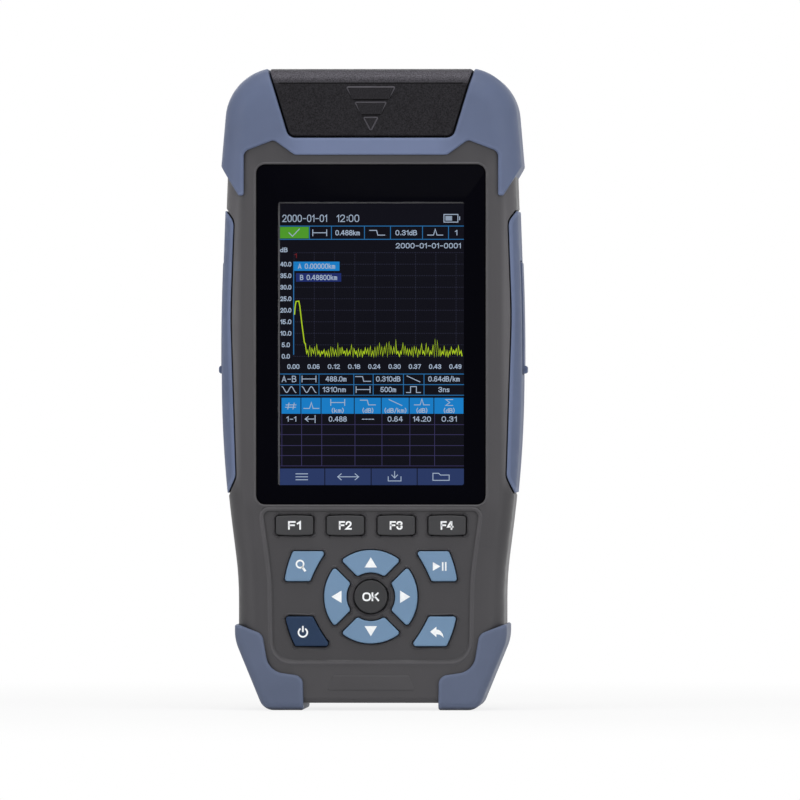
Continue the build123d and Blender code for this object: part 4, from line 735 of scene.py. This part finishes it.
class MakePicture(bpy.types.Operator):
    """Make the picture on the display: a measured curve, its tables and soft keys"""

    bl_idname = "reflectometer.make_picture"
    bl_label = "Display Picture"

    # Places in the picture are columns and rows of the display
    columns, rows = 320, 480
    graph_left, graph_top = 26.7, 85.8
    graph_across, graph_down = 34.9, 19.54
    graph_columns, graph_rows = 9, 10
    event_columns = [5.2, 39.3, 74, 131.2, 177.7, 225.8, 268.4, 320]
    soft_key_columns = [0, 80.5, 160.3, 239.6, 321]
    small, plain, medium, tall = 8, 9, 11, 12.5
    cell_gap, rule, hair, figure_line, mark_line, curve_line = 1.5, 1.3, 1, 1.35, 1.4, 1.9

    def spot(self, column, row):
        """A place in the picture, from columns and rows of the display."""
        size = sizes()
        x = -size.window_half + np.asarray(column, float) / self.columns * 2 * size.window_half
        z = size.window_high - np.asarray(row, float) / self.rows * (size.window_high - size.window_low)
        return np.stack(np.broadcast_arrays(x, z), axis=-1)

    def layer(self, name, level, colour, shapes, gain=1.0):
        """A layer of the picture, each level a skin's thickness in front of the last."""
        front = -sizes().picture_front - (level + 1) * SKIN
        made = shapes(front, front + SKIN)
        piece(name, made, lit(name + "_light", colour, gain), "housing")

    def cells(self, name, level, colour, boxes, gain=1.0):
        """A layer of cells, each from its left column, top row, right column and bottom row."""
        left, top, right, bottom = np.asarray(boxes, float).T
        corners = np.concatenate([self.spot(left, bottom), self.spot(right, top)], axis=1)
        self.layer(name, level, colour, lambda front, back: [slabs(corners, front, back)], gain)

    def lines(self, name, colour, paths, width):
        """A layer of lines through columns and rows."""
        places = [self.spot(*np.asarray(path, float).T) for path in paths]
        width *= 2 * sizes().window_half / self.columns
        self.layer(name, 3, colour, lambda front, back: [stroke(path, width, front, back) for path in places])

    def figures(self, name, colour, rows):
        """A layer of figures: each row has its middle, its height, and its texts with column and width."""
        pixel = 2 * sizes().window_half / self.columns

        def shapes(front, back):
            meshes = []
            for row, height, texts in rows:
                for text, column, width in texts:
                    tall, line, wide = np.array([height, self.figure_line, width]) * pixel
                    meshes += lettering(text, self.spot(column, row), tall, line, front, back, wide)
            return meshes

        self.layer(name, 3, colour, shapes)

    def make_cells(self, tints):
        """The ground, the filled cells and the lines between cells."""
        self.cells("picture_ground", 0, tints.ground, [(-2, -2, self.columns + 2, self.rows + 2)])
        self.cells("picture_result", 1, tints.passed, [(2.6, 42, 52, 61.5)])
        edges = zip(self.event_columns, self.event_columns[1:])
        heading = [(left, 332, right - self.cell_gap, 359) for left, right in edges]
        self.cells("picture_heading", 1, tints.header, heading + [(26, 101, 105, 116.5)])
        edges = zip(self.soft_key_columns, self.soft_key_columns[1:])
        keys = [(left, 452, right - self.cell_gap, self.rows) for left, right in edges]
        self.cells("picture_soft_keys", 1, tints.softkey, keys)
        self.cells("picture_marker", 1, tints.marker, [(30, 120.5, 108, 135)])

        rule = self.rule
        rules = [(0, row, self.columns, row + rule) for row in (40, 62.5, 291, 309, 327)]
        uprights = (52.6, 90.5, 147.4, 192.2, 247.4, 292.2)
        rules += [(column, 41, column + rule, 62.5) for column in uprights]
        uprights = (36.2, 69, 129, 162.4, 214.6, 250)
        rules += [(column, 291, column + rule, 327) for column in uprights]
        rules += [(25.3, 101, 26.8, 259)]
        self.cells("picture_rules", 2, tints.rules, rules)
        table = [(2, row, self.columns, row + self.hair) for row in (377, 394, 412.5, 429.5, 447)]
        table += [(column, 359, column + self.hair, 447) for column in self.event_columns]
        self.cells("picture_table", 2, tints.table, table)

    def make_graph(self, tints):
        """The dotted grid and the measured curve: a first pulse and a row of seeded random peaks and dips."""
        left, top, dot, apart = self.graph_left, self.graph_top, 0.6, 3.0
        column = left + self.graph_across * np.arange(self.graph_columns)
        row = top + self.graph_down * np.arange(self.graph_rows)
        upright = np.stack(np.meshgrid(column, np.arange(top, 262, apart)), axis=-1).reshape(-1, 2)
        level = np.stack(np.meshgrid(np.arange(left, 318, apart), row), axis=-1).reshape(-1, 2)
        dots = np.concatenate([upright, level])
        self.cells("picture_grid", 1, tints.grid, np.concatenate([dots - dot, dots + dot], axis=1))

        draw = np.random.default_rng(7)
        along = np.arange(46.0, 317.0, 2.0)
        count = len(along)
        along = along + draw.uniform(-0.6, 0.6, count)
        peaks = np.clip(254 - 9.5 * np.abs(draw.normal(0, 1, count)), 233, 256)
        noise = np.where(np.arange(count) % 2, draw.uniform(256, 262.5, count), peaks)
        pulse = [(27.6, 190), (28.6, 177), (30.2, 168.5), (35, 168), (36.6, 176), (40, 205), (44.5, 238)]
        curve = np.concatenate([pulse, np.stack([along, noise], axis=-1)])
        self.lines("picture_trace", tints.trace, [curve], self.curve_line)

    def make_figures(self, tints):
        """Numbers and units."""
        small, plain = self.small, self.plain
        rows = [
            (27.5, self.tall, [("2000-01-01", 45, 77), ("12:00", 119.5, 39)]),
            (52, plain, [("0.488km", 119, 42), ("0.31dB", 220, 37), ("1", 306, 4)]),
            (74, plain, [("2000-01-01-0001", 258, 112)]),
            (81, small, [("dB", 9, 13)]),
            (108.7, plain, [("A 0.00000km", 65.5, 64)]),
            (127.8, plain, [("B 0.48800km", 69, 64)]),
            (279, small, [(f"{0.061 * step:.2f}", 25.5 + self.graph_across * step, 21) for step in range(9)]),
            (300, self.medium, [("A-B", 18, 25)]),
            (300, plain, [("488.0m", 99, 36), ("0.310dB", 189, 42), ("0.64dB/km", 285, 54)]),
            (318, plain, [("1310nm", 96, 40), ("500m", 189, 27), ("3ns", 285, 19)]),
            (353.5, small, [("(km)", 102, 21), ("(dB)", 154, 19), ("(dB/km)", 201.5, 38)]),
            (353.5, small, [("(dB)", 247, 19), ("(dB)", 294, 19)]),
            (368, plain, [("1-1", 22, 17), ("0.488", 102, 31), ("----", 154, 21)]),
            (368, plain, [("0.64", 201, 26), ("14.20", 247, 31), ("0.31", 294, 26)]),
        ]
        for step in range(9):
            row = self.graph_top + self.graph_down * (9 - step)
            rows.append((row, small, [(f"{5 * step}.0", 12.5, 19 if step > 1 else 14)]))
        self.figures("picture_figures", tints.figures, rows)
        self.figures("picture_event", tints.event, [(91, small, [("1", 29.5, 4)])])

    def make_symbols(self, tints):
        """Symbols in the cells, on the soft keys and of the battery."""
        span = [[(-12, -5), (-12, 5)], [(-12, 0), (12, 0)], [(12, -5), (12, 5)]]
        drop = [[(-13, -4), (-1, -4), (1, 4), (13, 4)]]
        slope = [[(-11, -5), (11, 5)]]
        pulse = [[(-12, 5), (-5, 5), (-5, -5), (5, -5), (5, 5), (12, 5)]]
        spike = [[(-13, 4), (-3, 4), (0, -6), (3, 4), (13, 4)]]
        turn = np.linspace(-math.pi, math.pi, 17)
        wave = [np.stack([12 * turn / math.pi, -5 * np.sin(1.5 * turn)], axis=-1)]
        total = [[(6, -5), (-6, -5), (1, 0), (-6, 5), (6, 5)]]
        number = [[(-4, -5), (-6, 5)], [(5, -5), (3, 5)], [(-9, -2), (8, -2)], [(-10, 2), (7, 2)]]
        back = [[(7, 0), (-8, 0)], [(-3, -4), (-8, 0), (-3, 4)], [(9, -6), (9, 6)]]
        places = {
            52: [(span, 71), (drop, 170), (spike, 270)],
            300: [(span, 52.5), (drop, 145.7), (slope, 232.5)],
            318: [(wave, 18), (wave, 52.5), (span, 145.7), (pulse, 232.5)],
            340: [(span, 102), (drop, 154), (slope, 201.5), (spike, 247), (total, 294)],
            346: [(number, 22), (spike, 56.5)],
            368: [(back, 54)],
        }
        marks = [
            np.add(line, (column, row))
            for row, symbols in places.items()
            for shape, column in symbols
            for line in shape
        ]
        marks += [[(18, 52), (24, 58), (36, 45.5)]]
        menu = [[(30, row), (50, row)] for row in (461, 466, 471)]
        cursors = [[(108, 461), (102, 466), (108, 471)], [(102, 466), (138, 466)]]
        cursors += [[(132, 461), (138, 466), (132, 471)]]
        store = [[(200, 457), (200, 467)], [(195, 463), (200, 468), (205, 463)]]
        store += [[(189, 466), (189, 473), (211, 473), (211, 466)]]
        folder = [[(266, 472), (266, 460), (276, 460), (279, 463), (294, 463), (294, 472), (266, 472)]]
        battery = [[(285, 21), (309, 21), (309, 34), (285, 34), (285, 21)], [(312, 25), (312, 30)]]
        marks += menu + cursors + store + folder + battery
        self.lines("picture_marks", tints.figures, marks, self.mark_line)
        self.cells("picture_charge", 3, tints.figures, [(287.5, 23.5, 299, 31.5)], 0.75)

    def execute(self, context):
        tints = colours()
        self.make_cells(tints)
        self.make_graph(tints)
        self.make_figures(tints)
        self.make_symbols(tints)
        return {"FINISHED"}


class MakeLegends(bpy.types.Operator):
    """Make the printed legends on the keys"""

    bl_idname = "reflectometer.make_legends"
    bl_label = "Key Legends"

    def execute(self, context):
        size = sizes()
        ink = print_ink("legend_ink", colours().legend)
        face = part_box("key_ok")[0].y
        front, back = face - SKIN / 2, face + SKIN

        def legend(key, meshes):
            piece(f"legend_{key[4:]}", meshes, ink, key)

        line = size.figure_line
        for number in range(1, 5):
            key = f"key_f{number}"
            height, width = size.figure_height, size.figure_width
            legend(key, lettering(f"F{number}", middle_of(key), height, line, front, back, width))
        pad = middle_of("key_ok")
        legend("key_ok", lettering("OK", pad, size.middle_height, line, front, back, size.middle_width))

        half, tall = size.arrow_width / 2, size.arrow_height / 2
        triangle = np.array([[-half, -tall], [half, -tall], [0, tall]])
        for turn, key in enumerate(["key_up", "key_left", "key_down", "key_right"]):
            cos, sin = math.cos(turn * math.pi / 2), math.sin(turn * math.pi / 2)
            turned = (triangle + [0, size.arrow_reach]) @ np.array([[cos, sin], [-sin, cos]])
            legend(key, [prism(pad + turned, front, back)])

        line = size.icon_line
        zoom = np.array([-18.4, 38.1]) * MM
        ring = arc(zoom + np.array([-0.25, 0.4]) * MM, 0.95 * MM, 0, 360 - 360 / 32)
        handle = zoom + np.array([[0.5, -0.55], [1.0, -1.25]]) * MM
        glass = stroke(ring, line, front, back, closed=True)
        legend("key_zoom", [glass, stroke(handle, 1.4 * line, front, back)])

        run = np.array([18.2, 37.9]) * MM
        play = run + np.array([[-1.85, -1.15], [0.15, 0], [-1.85, 1.15]]) * MM
        bars = np.array([[0.55, -1.15, 0.95, 1.15], [1.35, -1.15, 1.75, 1.15]]) * MM + np.tile(run, 2)
        legend("key_run", [prism(play, front, back), slabs(bars, front, back)])

        power = np.array([-17.9, 20.5]) * MM
        ring = arc(power, 1.15 * MM, 132, 408)
        bar = power + np.array([[0, 0.3], [0, 1.5]]) * MM
        legend("key_power", [stroke(ring, line, front, back), stroke(bar, line, front, back)])

        reply = [(-1.75, 0.1), (-0.1, -1.35), (-0.1, -0.55), (0.75, -0.65), (1.35, -1.0), (1.8, -1.5)]
        reply += [(1.55, -0.5), (1.05, 0.2), (0.5, 0.6), (-0.1, 0.7), (-0.1, 1.45)]
        back_mark = (np.array([17.4, 20.6]) + reply) * MM
        legend("key_back", [prism(back_mark, front, back)])
        return {"FINISHED"}


class MakeTrim(bpy.types.Operator):
    """Make the moulded trim round the lens, the keypad and the keys, on the base and on the top cover"""

    bl_idname = "reflectometer.make_trim"
    bl_label = "Moulded Trim"

    def edge(self, key):
        """The edge of a key's face: the points of its front, in order of angle about its middle."""
        corners = np.empty(3 * len(nodes[key].data.vertices))
        nodes[key].data.vertices.foreach_get("co", corners)
        corners = corners.reshape(-1, 3)
        face = corners[corners[:, 1] < corners[:, 1].min() + 0.01 * MM][:, [0, 2]]
        face = np.unique(np.round(face, 6), axis=0) - middle_of(key)
        return face[np.argsort(np.arctan2(face[:, 1], face[:, 0]))] + middle_of(key)

    def make_front(self, tints, size):
        """Rim of the lens, ridge of the keypad and relief of the base, on the face of the front shell: the
        rim and the ridge are real, painted lighter than the shell as highlights, and the relief is a little
        lighter than the shell.
        """
        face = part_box("front_shell")[0].y
        gap, width, height = 0.45 * MM, 0.6 * MM, 0.18 * MM
        around = grown_outline(*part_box("display_lens"), gap, size.lens_corner)
        # Lighter than the shell: a painted highlight on the real ridge round the lens
        lip_highlight = moulded("lip_plastic", rgba(tints.shell, 1.4), 0.4, 2600, 0.02, gap_shade=0.3)
        shape = carried(around, ridge(width, height, face))
        piece("lens_rim", [shape], lip_highlight, "housing")

        width, height = 1.1 * MM, 0.22 * MM
        corners = [(-26.4, 12.3), (26.4, 12.3), (26.8, 35), (29.2, 53.1), (-29.2, 53.1), (-26.8, 35)]
        radii = np.array([5.6, 5.6, 60, 2.2, 2.2, 60]) * MM
        field = soft_outline(np.array(corners) * MM, radii, 14)
        # Lighter than the shell: a painted highlight on the real ridge round the keypad
        plastic = moulded("trim_plastic", rgba(tints.shell, 1.3), 0.45, 2600, 0.02, gap_shade=0.3)
        shape = carried(field, ridge(width, height, face))
        piece("keypad_ridge", [shape], plastic, "housing")

        corners = [(-11.6, 5.2), (11.6, 5.2), (10, 9.2), (-10, 9.2)]
        plate = soft_outline(np.array(corners) * MM, 0.5 * MM)
        step = raised(face, [(0, 0.06), (-0.12, 0.14), (-0.4, 0.16)])
        base = moulded("base_plastic", rgba(tints.shell, 1.1), 0.44, 2600, 0.03, specular=0.26)
        piece("base_relief", [carried(plate, step, capped=True)], base, "housing")

    def make_key_rims(self, tints):
        """A low rim round each key, on the floor of the keypad, painted lighter than the shell as a
        highlight.
        """
        floor = -19.5 * MM
        gap, width, height = 0.95 * MM, 0.7 * MM, 0.35 * MM
        section = [(side + gap, y) for side, y in ridge(width, height, floor, 7)]
        rims = [carried(self.edge(key), section) for key in KEYS]
        # Lighter than the shell: a painted highlight on the real rims
        light = moulded("rim_plastic", rgba(tints.shell, 1.2), 0.44, 2600, 0.02, gap_shade=0.3)
        piece("key_rims", rims, light, "housing")

    def make_cover_marks(self, tints):
        """Rims round the three marks of the top cover, painted lighter as highlights with painted shade
        below, and a thin line under its roll, painted dark as shade.
        """
        marks = ((161, 164), (157, 160), (153.1, 156))
        tip, top, half, least = 153.1, 164, 6.1, 0.1
        front = (-22, -19, 1)
        # Painted shade just below the two upper marks and over the thin line under the roll
        under = [((-7, 7, 1), front, (low - 0.55, low, 0.1), 0.06) for low, high in marks[:2]]
        under += [((-26, 26, 1), front, (164.9, 165.5, 0.1), 0.05)]
        look = {"specular": 0.1, "gap_shade": 0.2, "zones": under}
        # The rims are painted much lighter than the cover, as highlights
        cover = moulded("cover_trim", rgba(tints.cover, 6), 0.4, 1700, 0.03, **look)
        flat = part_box("top_cover")[0].y + 0.4 * MM
        width, height = 0.7 * MM, 0.34 * MM
        section = ridge(width, height, flat)
        rims = []
        for low, high in marks:
            narrow, wide = (max(half * (z - tip) / (top - tip), least) for z in (low, high))
            mark = np.array([(-narrow, low), (narrow, low), (wide, high), (-wide, high)]) * MM
            rims.append(carried(soft_outline(mark, 0.09 * MM, 5), section))
        bar = rounded_outline(-24.3 * MM, 165.05 * MM, 24.3 * MM, 165.35 * MM, 0.12 * MM)
        step = [(0, flat + 0.1 * MM), (0, flat), (-0.06 * MM, flat - 0.08 * MM)]
        rims.append(carried(bar, step, capped=True))
        piece("cover_marks", rims, cover, "top_cover")

    def execute(self, context):
        tints = colours()
        self.make_front(tints, sizes())
        self.make_key_rims(tints)
        self.make_cover_marks(tints)
        return {"FINISHED"}


class MakeBackTrim(bpy.types.Operator):
    """Make the trim of the back: a frame on the stand and grip bars on the battery cover"""

    bl_idname = "reflectometer.make_back_trim"
    bl_label = "Back Trim"

    def turned(self, mesh):
        """A mesh turned half round the upright axis, from the front to the back: x and y change sign."""
        places = np.empty(3 * len(mesh.vertices))
        mesh.vertices.foreach_get("co", places)
        places = places.reshape(-1, 3) * [-1, -1, 1]
        mesh.vertices.foreach_set("co", places.ravel())
        return mesh

    def execute(self, context):
        plastic = moulded("back_trim_plastic", colours().shell, 0.44, 2600, 0.03, gap_shade=0.4)
        low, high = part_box("kickstand")
        inset, corner, width, height = 4.5 * MM, 2 * MM, 0.9 * MM, 0.22 * MM
        high_z = high.z - 2 * inset
        frame_line = rounded_outline(low.x + inset, low.z + inset, high.x - inset, high_z, corner)
        frame_mesh = carried(frame_line, ridge(width, height, -high.y))
        piece("stand_frame", [self.turned(frame_mesh)], plastic, "kickstand")

        low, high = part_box("battery_cover")
        step = raised(-high.y, [(0, 0.08), (-0.15, 0.2), (-0.4, 0.22)])
        count, pitch, first = 6, 2.4 * MM, low.z + 5 * MM
        half, width, corner = 9 * MM, 1.1 * MM, 0.5 * MM
        bars = []
        for place in np.arange(count) * pitch + first:
            bar = rounded_outline(-half, place, half, place + width, corner)
            bars.append(self.turned(carried(bar, step, capped=True)))
        piece("battery_cover_grip", bars, plastic, "housing")
        return {"FINISHED"}


# The floor: half its width, and how white the camera sees it near the part and far from it, in metres
FLOOR_HALF = 3.0
FLOOR_WHITE = (0.82, 1)
FLOOR_REACH = (0.15, 0.4)


class MakeStage(bpy.types.Operator):
    """Set the floor, lights, background and camera"""

    bl_idname = "reflectometer.make_stage"
    bl_label = "Stage"

    def seen(self, tree):
        """1 for what the camera sees, directly or through gloss and glass, and 0 for light on surfaces."""
        rays = tree.nodes.new("ShaderNodeLightPath")
        seen = rays.outputs["Is Camera Ray"]
        for kind in ("Is Glossy Ray", "Is Transmission Ray"):
            either = tree.nodes.new("ShaderNodeMath")
            either.operation = "MAXIMUM"
            tree.links.new(seen, either.inputs[0])
            tree.links.new(rays.outputs[kind], either.inputs[1])
            seen = either.outputs[0]
        return seen

    def light(self, name, place, aim, width, height, power):
        data = bpy.data.lights.new(name, "AREA")
        data.energy = power
        data.shape = "RECTANGLE"
        data.size = width
        data.size_y = height
        lamp = bpy.data.objects.new(name, data)
        lamp.location = place
        lamp.rotation_euler = (Vector(aim) - Vector(place)).to_track_quat("-Z", "Y").to_euler()
        bpy.context.scene.collection.objects.link(lamp)

    def execute(self, context):
        scene = bpy.context.scene
        stage = stage_settings()
        scene.view_settings.view_transform = "Standard"
        low, high = cad_box
        middle = (low + high) / 2

        paint = Finish("floor_paint")
        tones = paint.between(paint.noise(3), (0.9, 0.9, 0.9, 1), (0.94, 0.94, 0.94, 1))
        paint.set(Base_Color=tones, Roughness=0.9, Specular_IOR_Level=0.0)
        away = paint.add("ShaderNodeVectorMath", operation="LENGTH")
        paint.feed(away.inputs[0], paint.place)
        share = paint.spread(away.outputs["Value"], *FLOOR_WHITE, *FLOOR_REACH)
        white = paint.add("ShaderNodeEmission")
        blend = paint.add("ShaderNodeMixShader")
        paint.feed(blend.inputs[0], paint.times(share, self.seen(paint.tree)))
        paint.feed(blend.inputs[1], paint.shader.outputs[0])
        paint.feed(blend.inputs[2], white.outputs[0])
        paint.feed(paint.tree.nodes["Material Output"].inputs["Surface"], blend.outputs[0])
        corners = np.array([[-1, -1, 0], [1, -1, 0], [1, 1, 0], [-1, 1, 0]]) * FLOOR_HALF
        corners[:, 2] = low.z - 2 * SKIN
        floor = bpy.data.objects.new("floor", mesh_from(corners, [[0, 1, 2, 3]]))
        floor.data.materials.append(paint.material)
        scene.collection.objects.link(floor)

        world = bpy.data.worlds.new("surroundings")
        world.use_nodes = True
        scene.world = world
        tree = world.node_tree
        background = tree.nodes["Background"]
        background.inputs["Color"].default_value = (1, 1, 1, 1)
        level = tree.nodes.new("ShaderNodeMapRange")
        tree.links.new(self.seen(tree), level.inputs["Value"])
        level.inputs["To Min"].default_value = stage.ambient
        level.inputs["To Max"].default_value = 1.0
        tree.links.new(level.outputs["Result"], background.inputs["Strength"])

        self.light("front_light", (0.3, -1.2, 0.6), middle, 0.8, 0.8, stage.front_power)
        self.light("top_light", (0.0, -0.3, 1.1), middle, 0.7, 0.5, stage.top_power)
        self.light("right_light", (0.8, -0.6, 0.14), middle, 0.3, 0.8, stage.side_power)
        self.light("left_light", (-0.8, -0.6, 0.14), middle, 0.3, 0.8, 1.15 * stage.side_power)
        self.light("rear_light", (-0.3, 1.2, 0.6), middle, 0.8, 0.8, stage.front_power)

        back = Vector((math.sin(stage.azimuth), -math.cos(stage.azimuth), 0))
        right = Vector((math.cos(stage.azimuth), math.sin(stage.azimuth), 0))
        aim = middle + right * stage.aim_right - Vector((0, 0, stage.aim_below))
        camera = bpy.data.cameras.new("camera")
        camera.lens = stage.focal
        camera.clip_end = 50
        holder = bpy.data.objects.new("camera", camera)
        holder.location = aim + back * stage.distance
        holder.rotation_euler = (-back).to_track_quat("-Z", "Y").to_euler()
        scene.collection.objects.link(holder)
        scene.camera = holder
        return {"FINISHED"}


OPERATORS = [FinishHousing, FinishKeys, FinishInside, MakeLens, MakePicture, MakeLegends]
OPERATORS += [MakeTrim, MakeBackTrim, MakeStage]
GROUPS = [ReflectometerColours, ReflectometerSizes, ReflectometerStage]


class ReflectometerPanel(bpy.types.Panel):
    """Lists the reflectometer's operators"""

    bl_idname = "VIEW3D_PT_reflectometer"
    bl_label = "Reflectometer"
    bl_space_type = "VIEW_3D"
    bl_region_type = "UI"
    bl_category = "Reflectometer"

    def draw(self, context):
        for operator in OPERATORS:
            self.layout.operator(operator.bl_idname)


def register():
    for entry in GROUPS + OPERATORS + [ReflectometerPanel]:
        bpy.utils.register_class(entry)
    bpy.types.Scene.reflectometer_colours = PointerProperty(type=ReflectometerColours)
    bpy.types.Scene.reflectometer_sizes = PointerProperty(type=ReflectometerSizes)
    bpy.types.Scene.reflectometer_stage = PointerProperty(type=ReflectometerStage)


def unregister():
    del bpy.types.Scene.reflectometer_stage
    del bpy.types.Scene.reflectometer_sizes
    del bpy.types.Scene.reflectometer_colours
    for entry in reversed(GROUPS + OPERATORS + [ReflectometerPanel]):
        bpy.utils.unregister_class(entry)


def main():
    register()
    for operator in OPERATORS:
        group, name = operator.bl_idname.split(".")
        getattr(getattr(bpy.ops, group), name)()


if __name__ == "__main__":
    main()
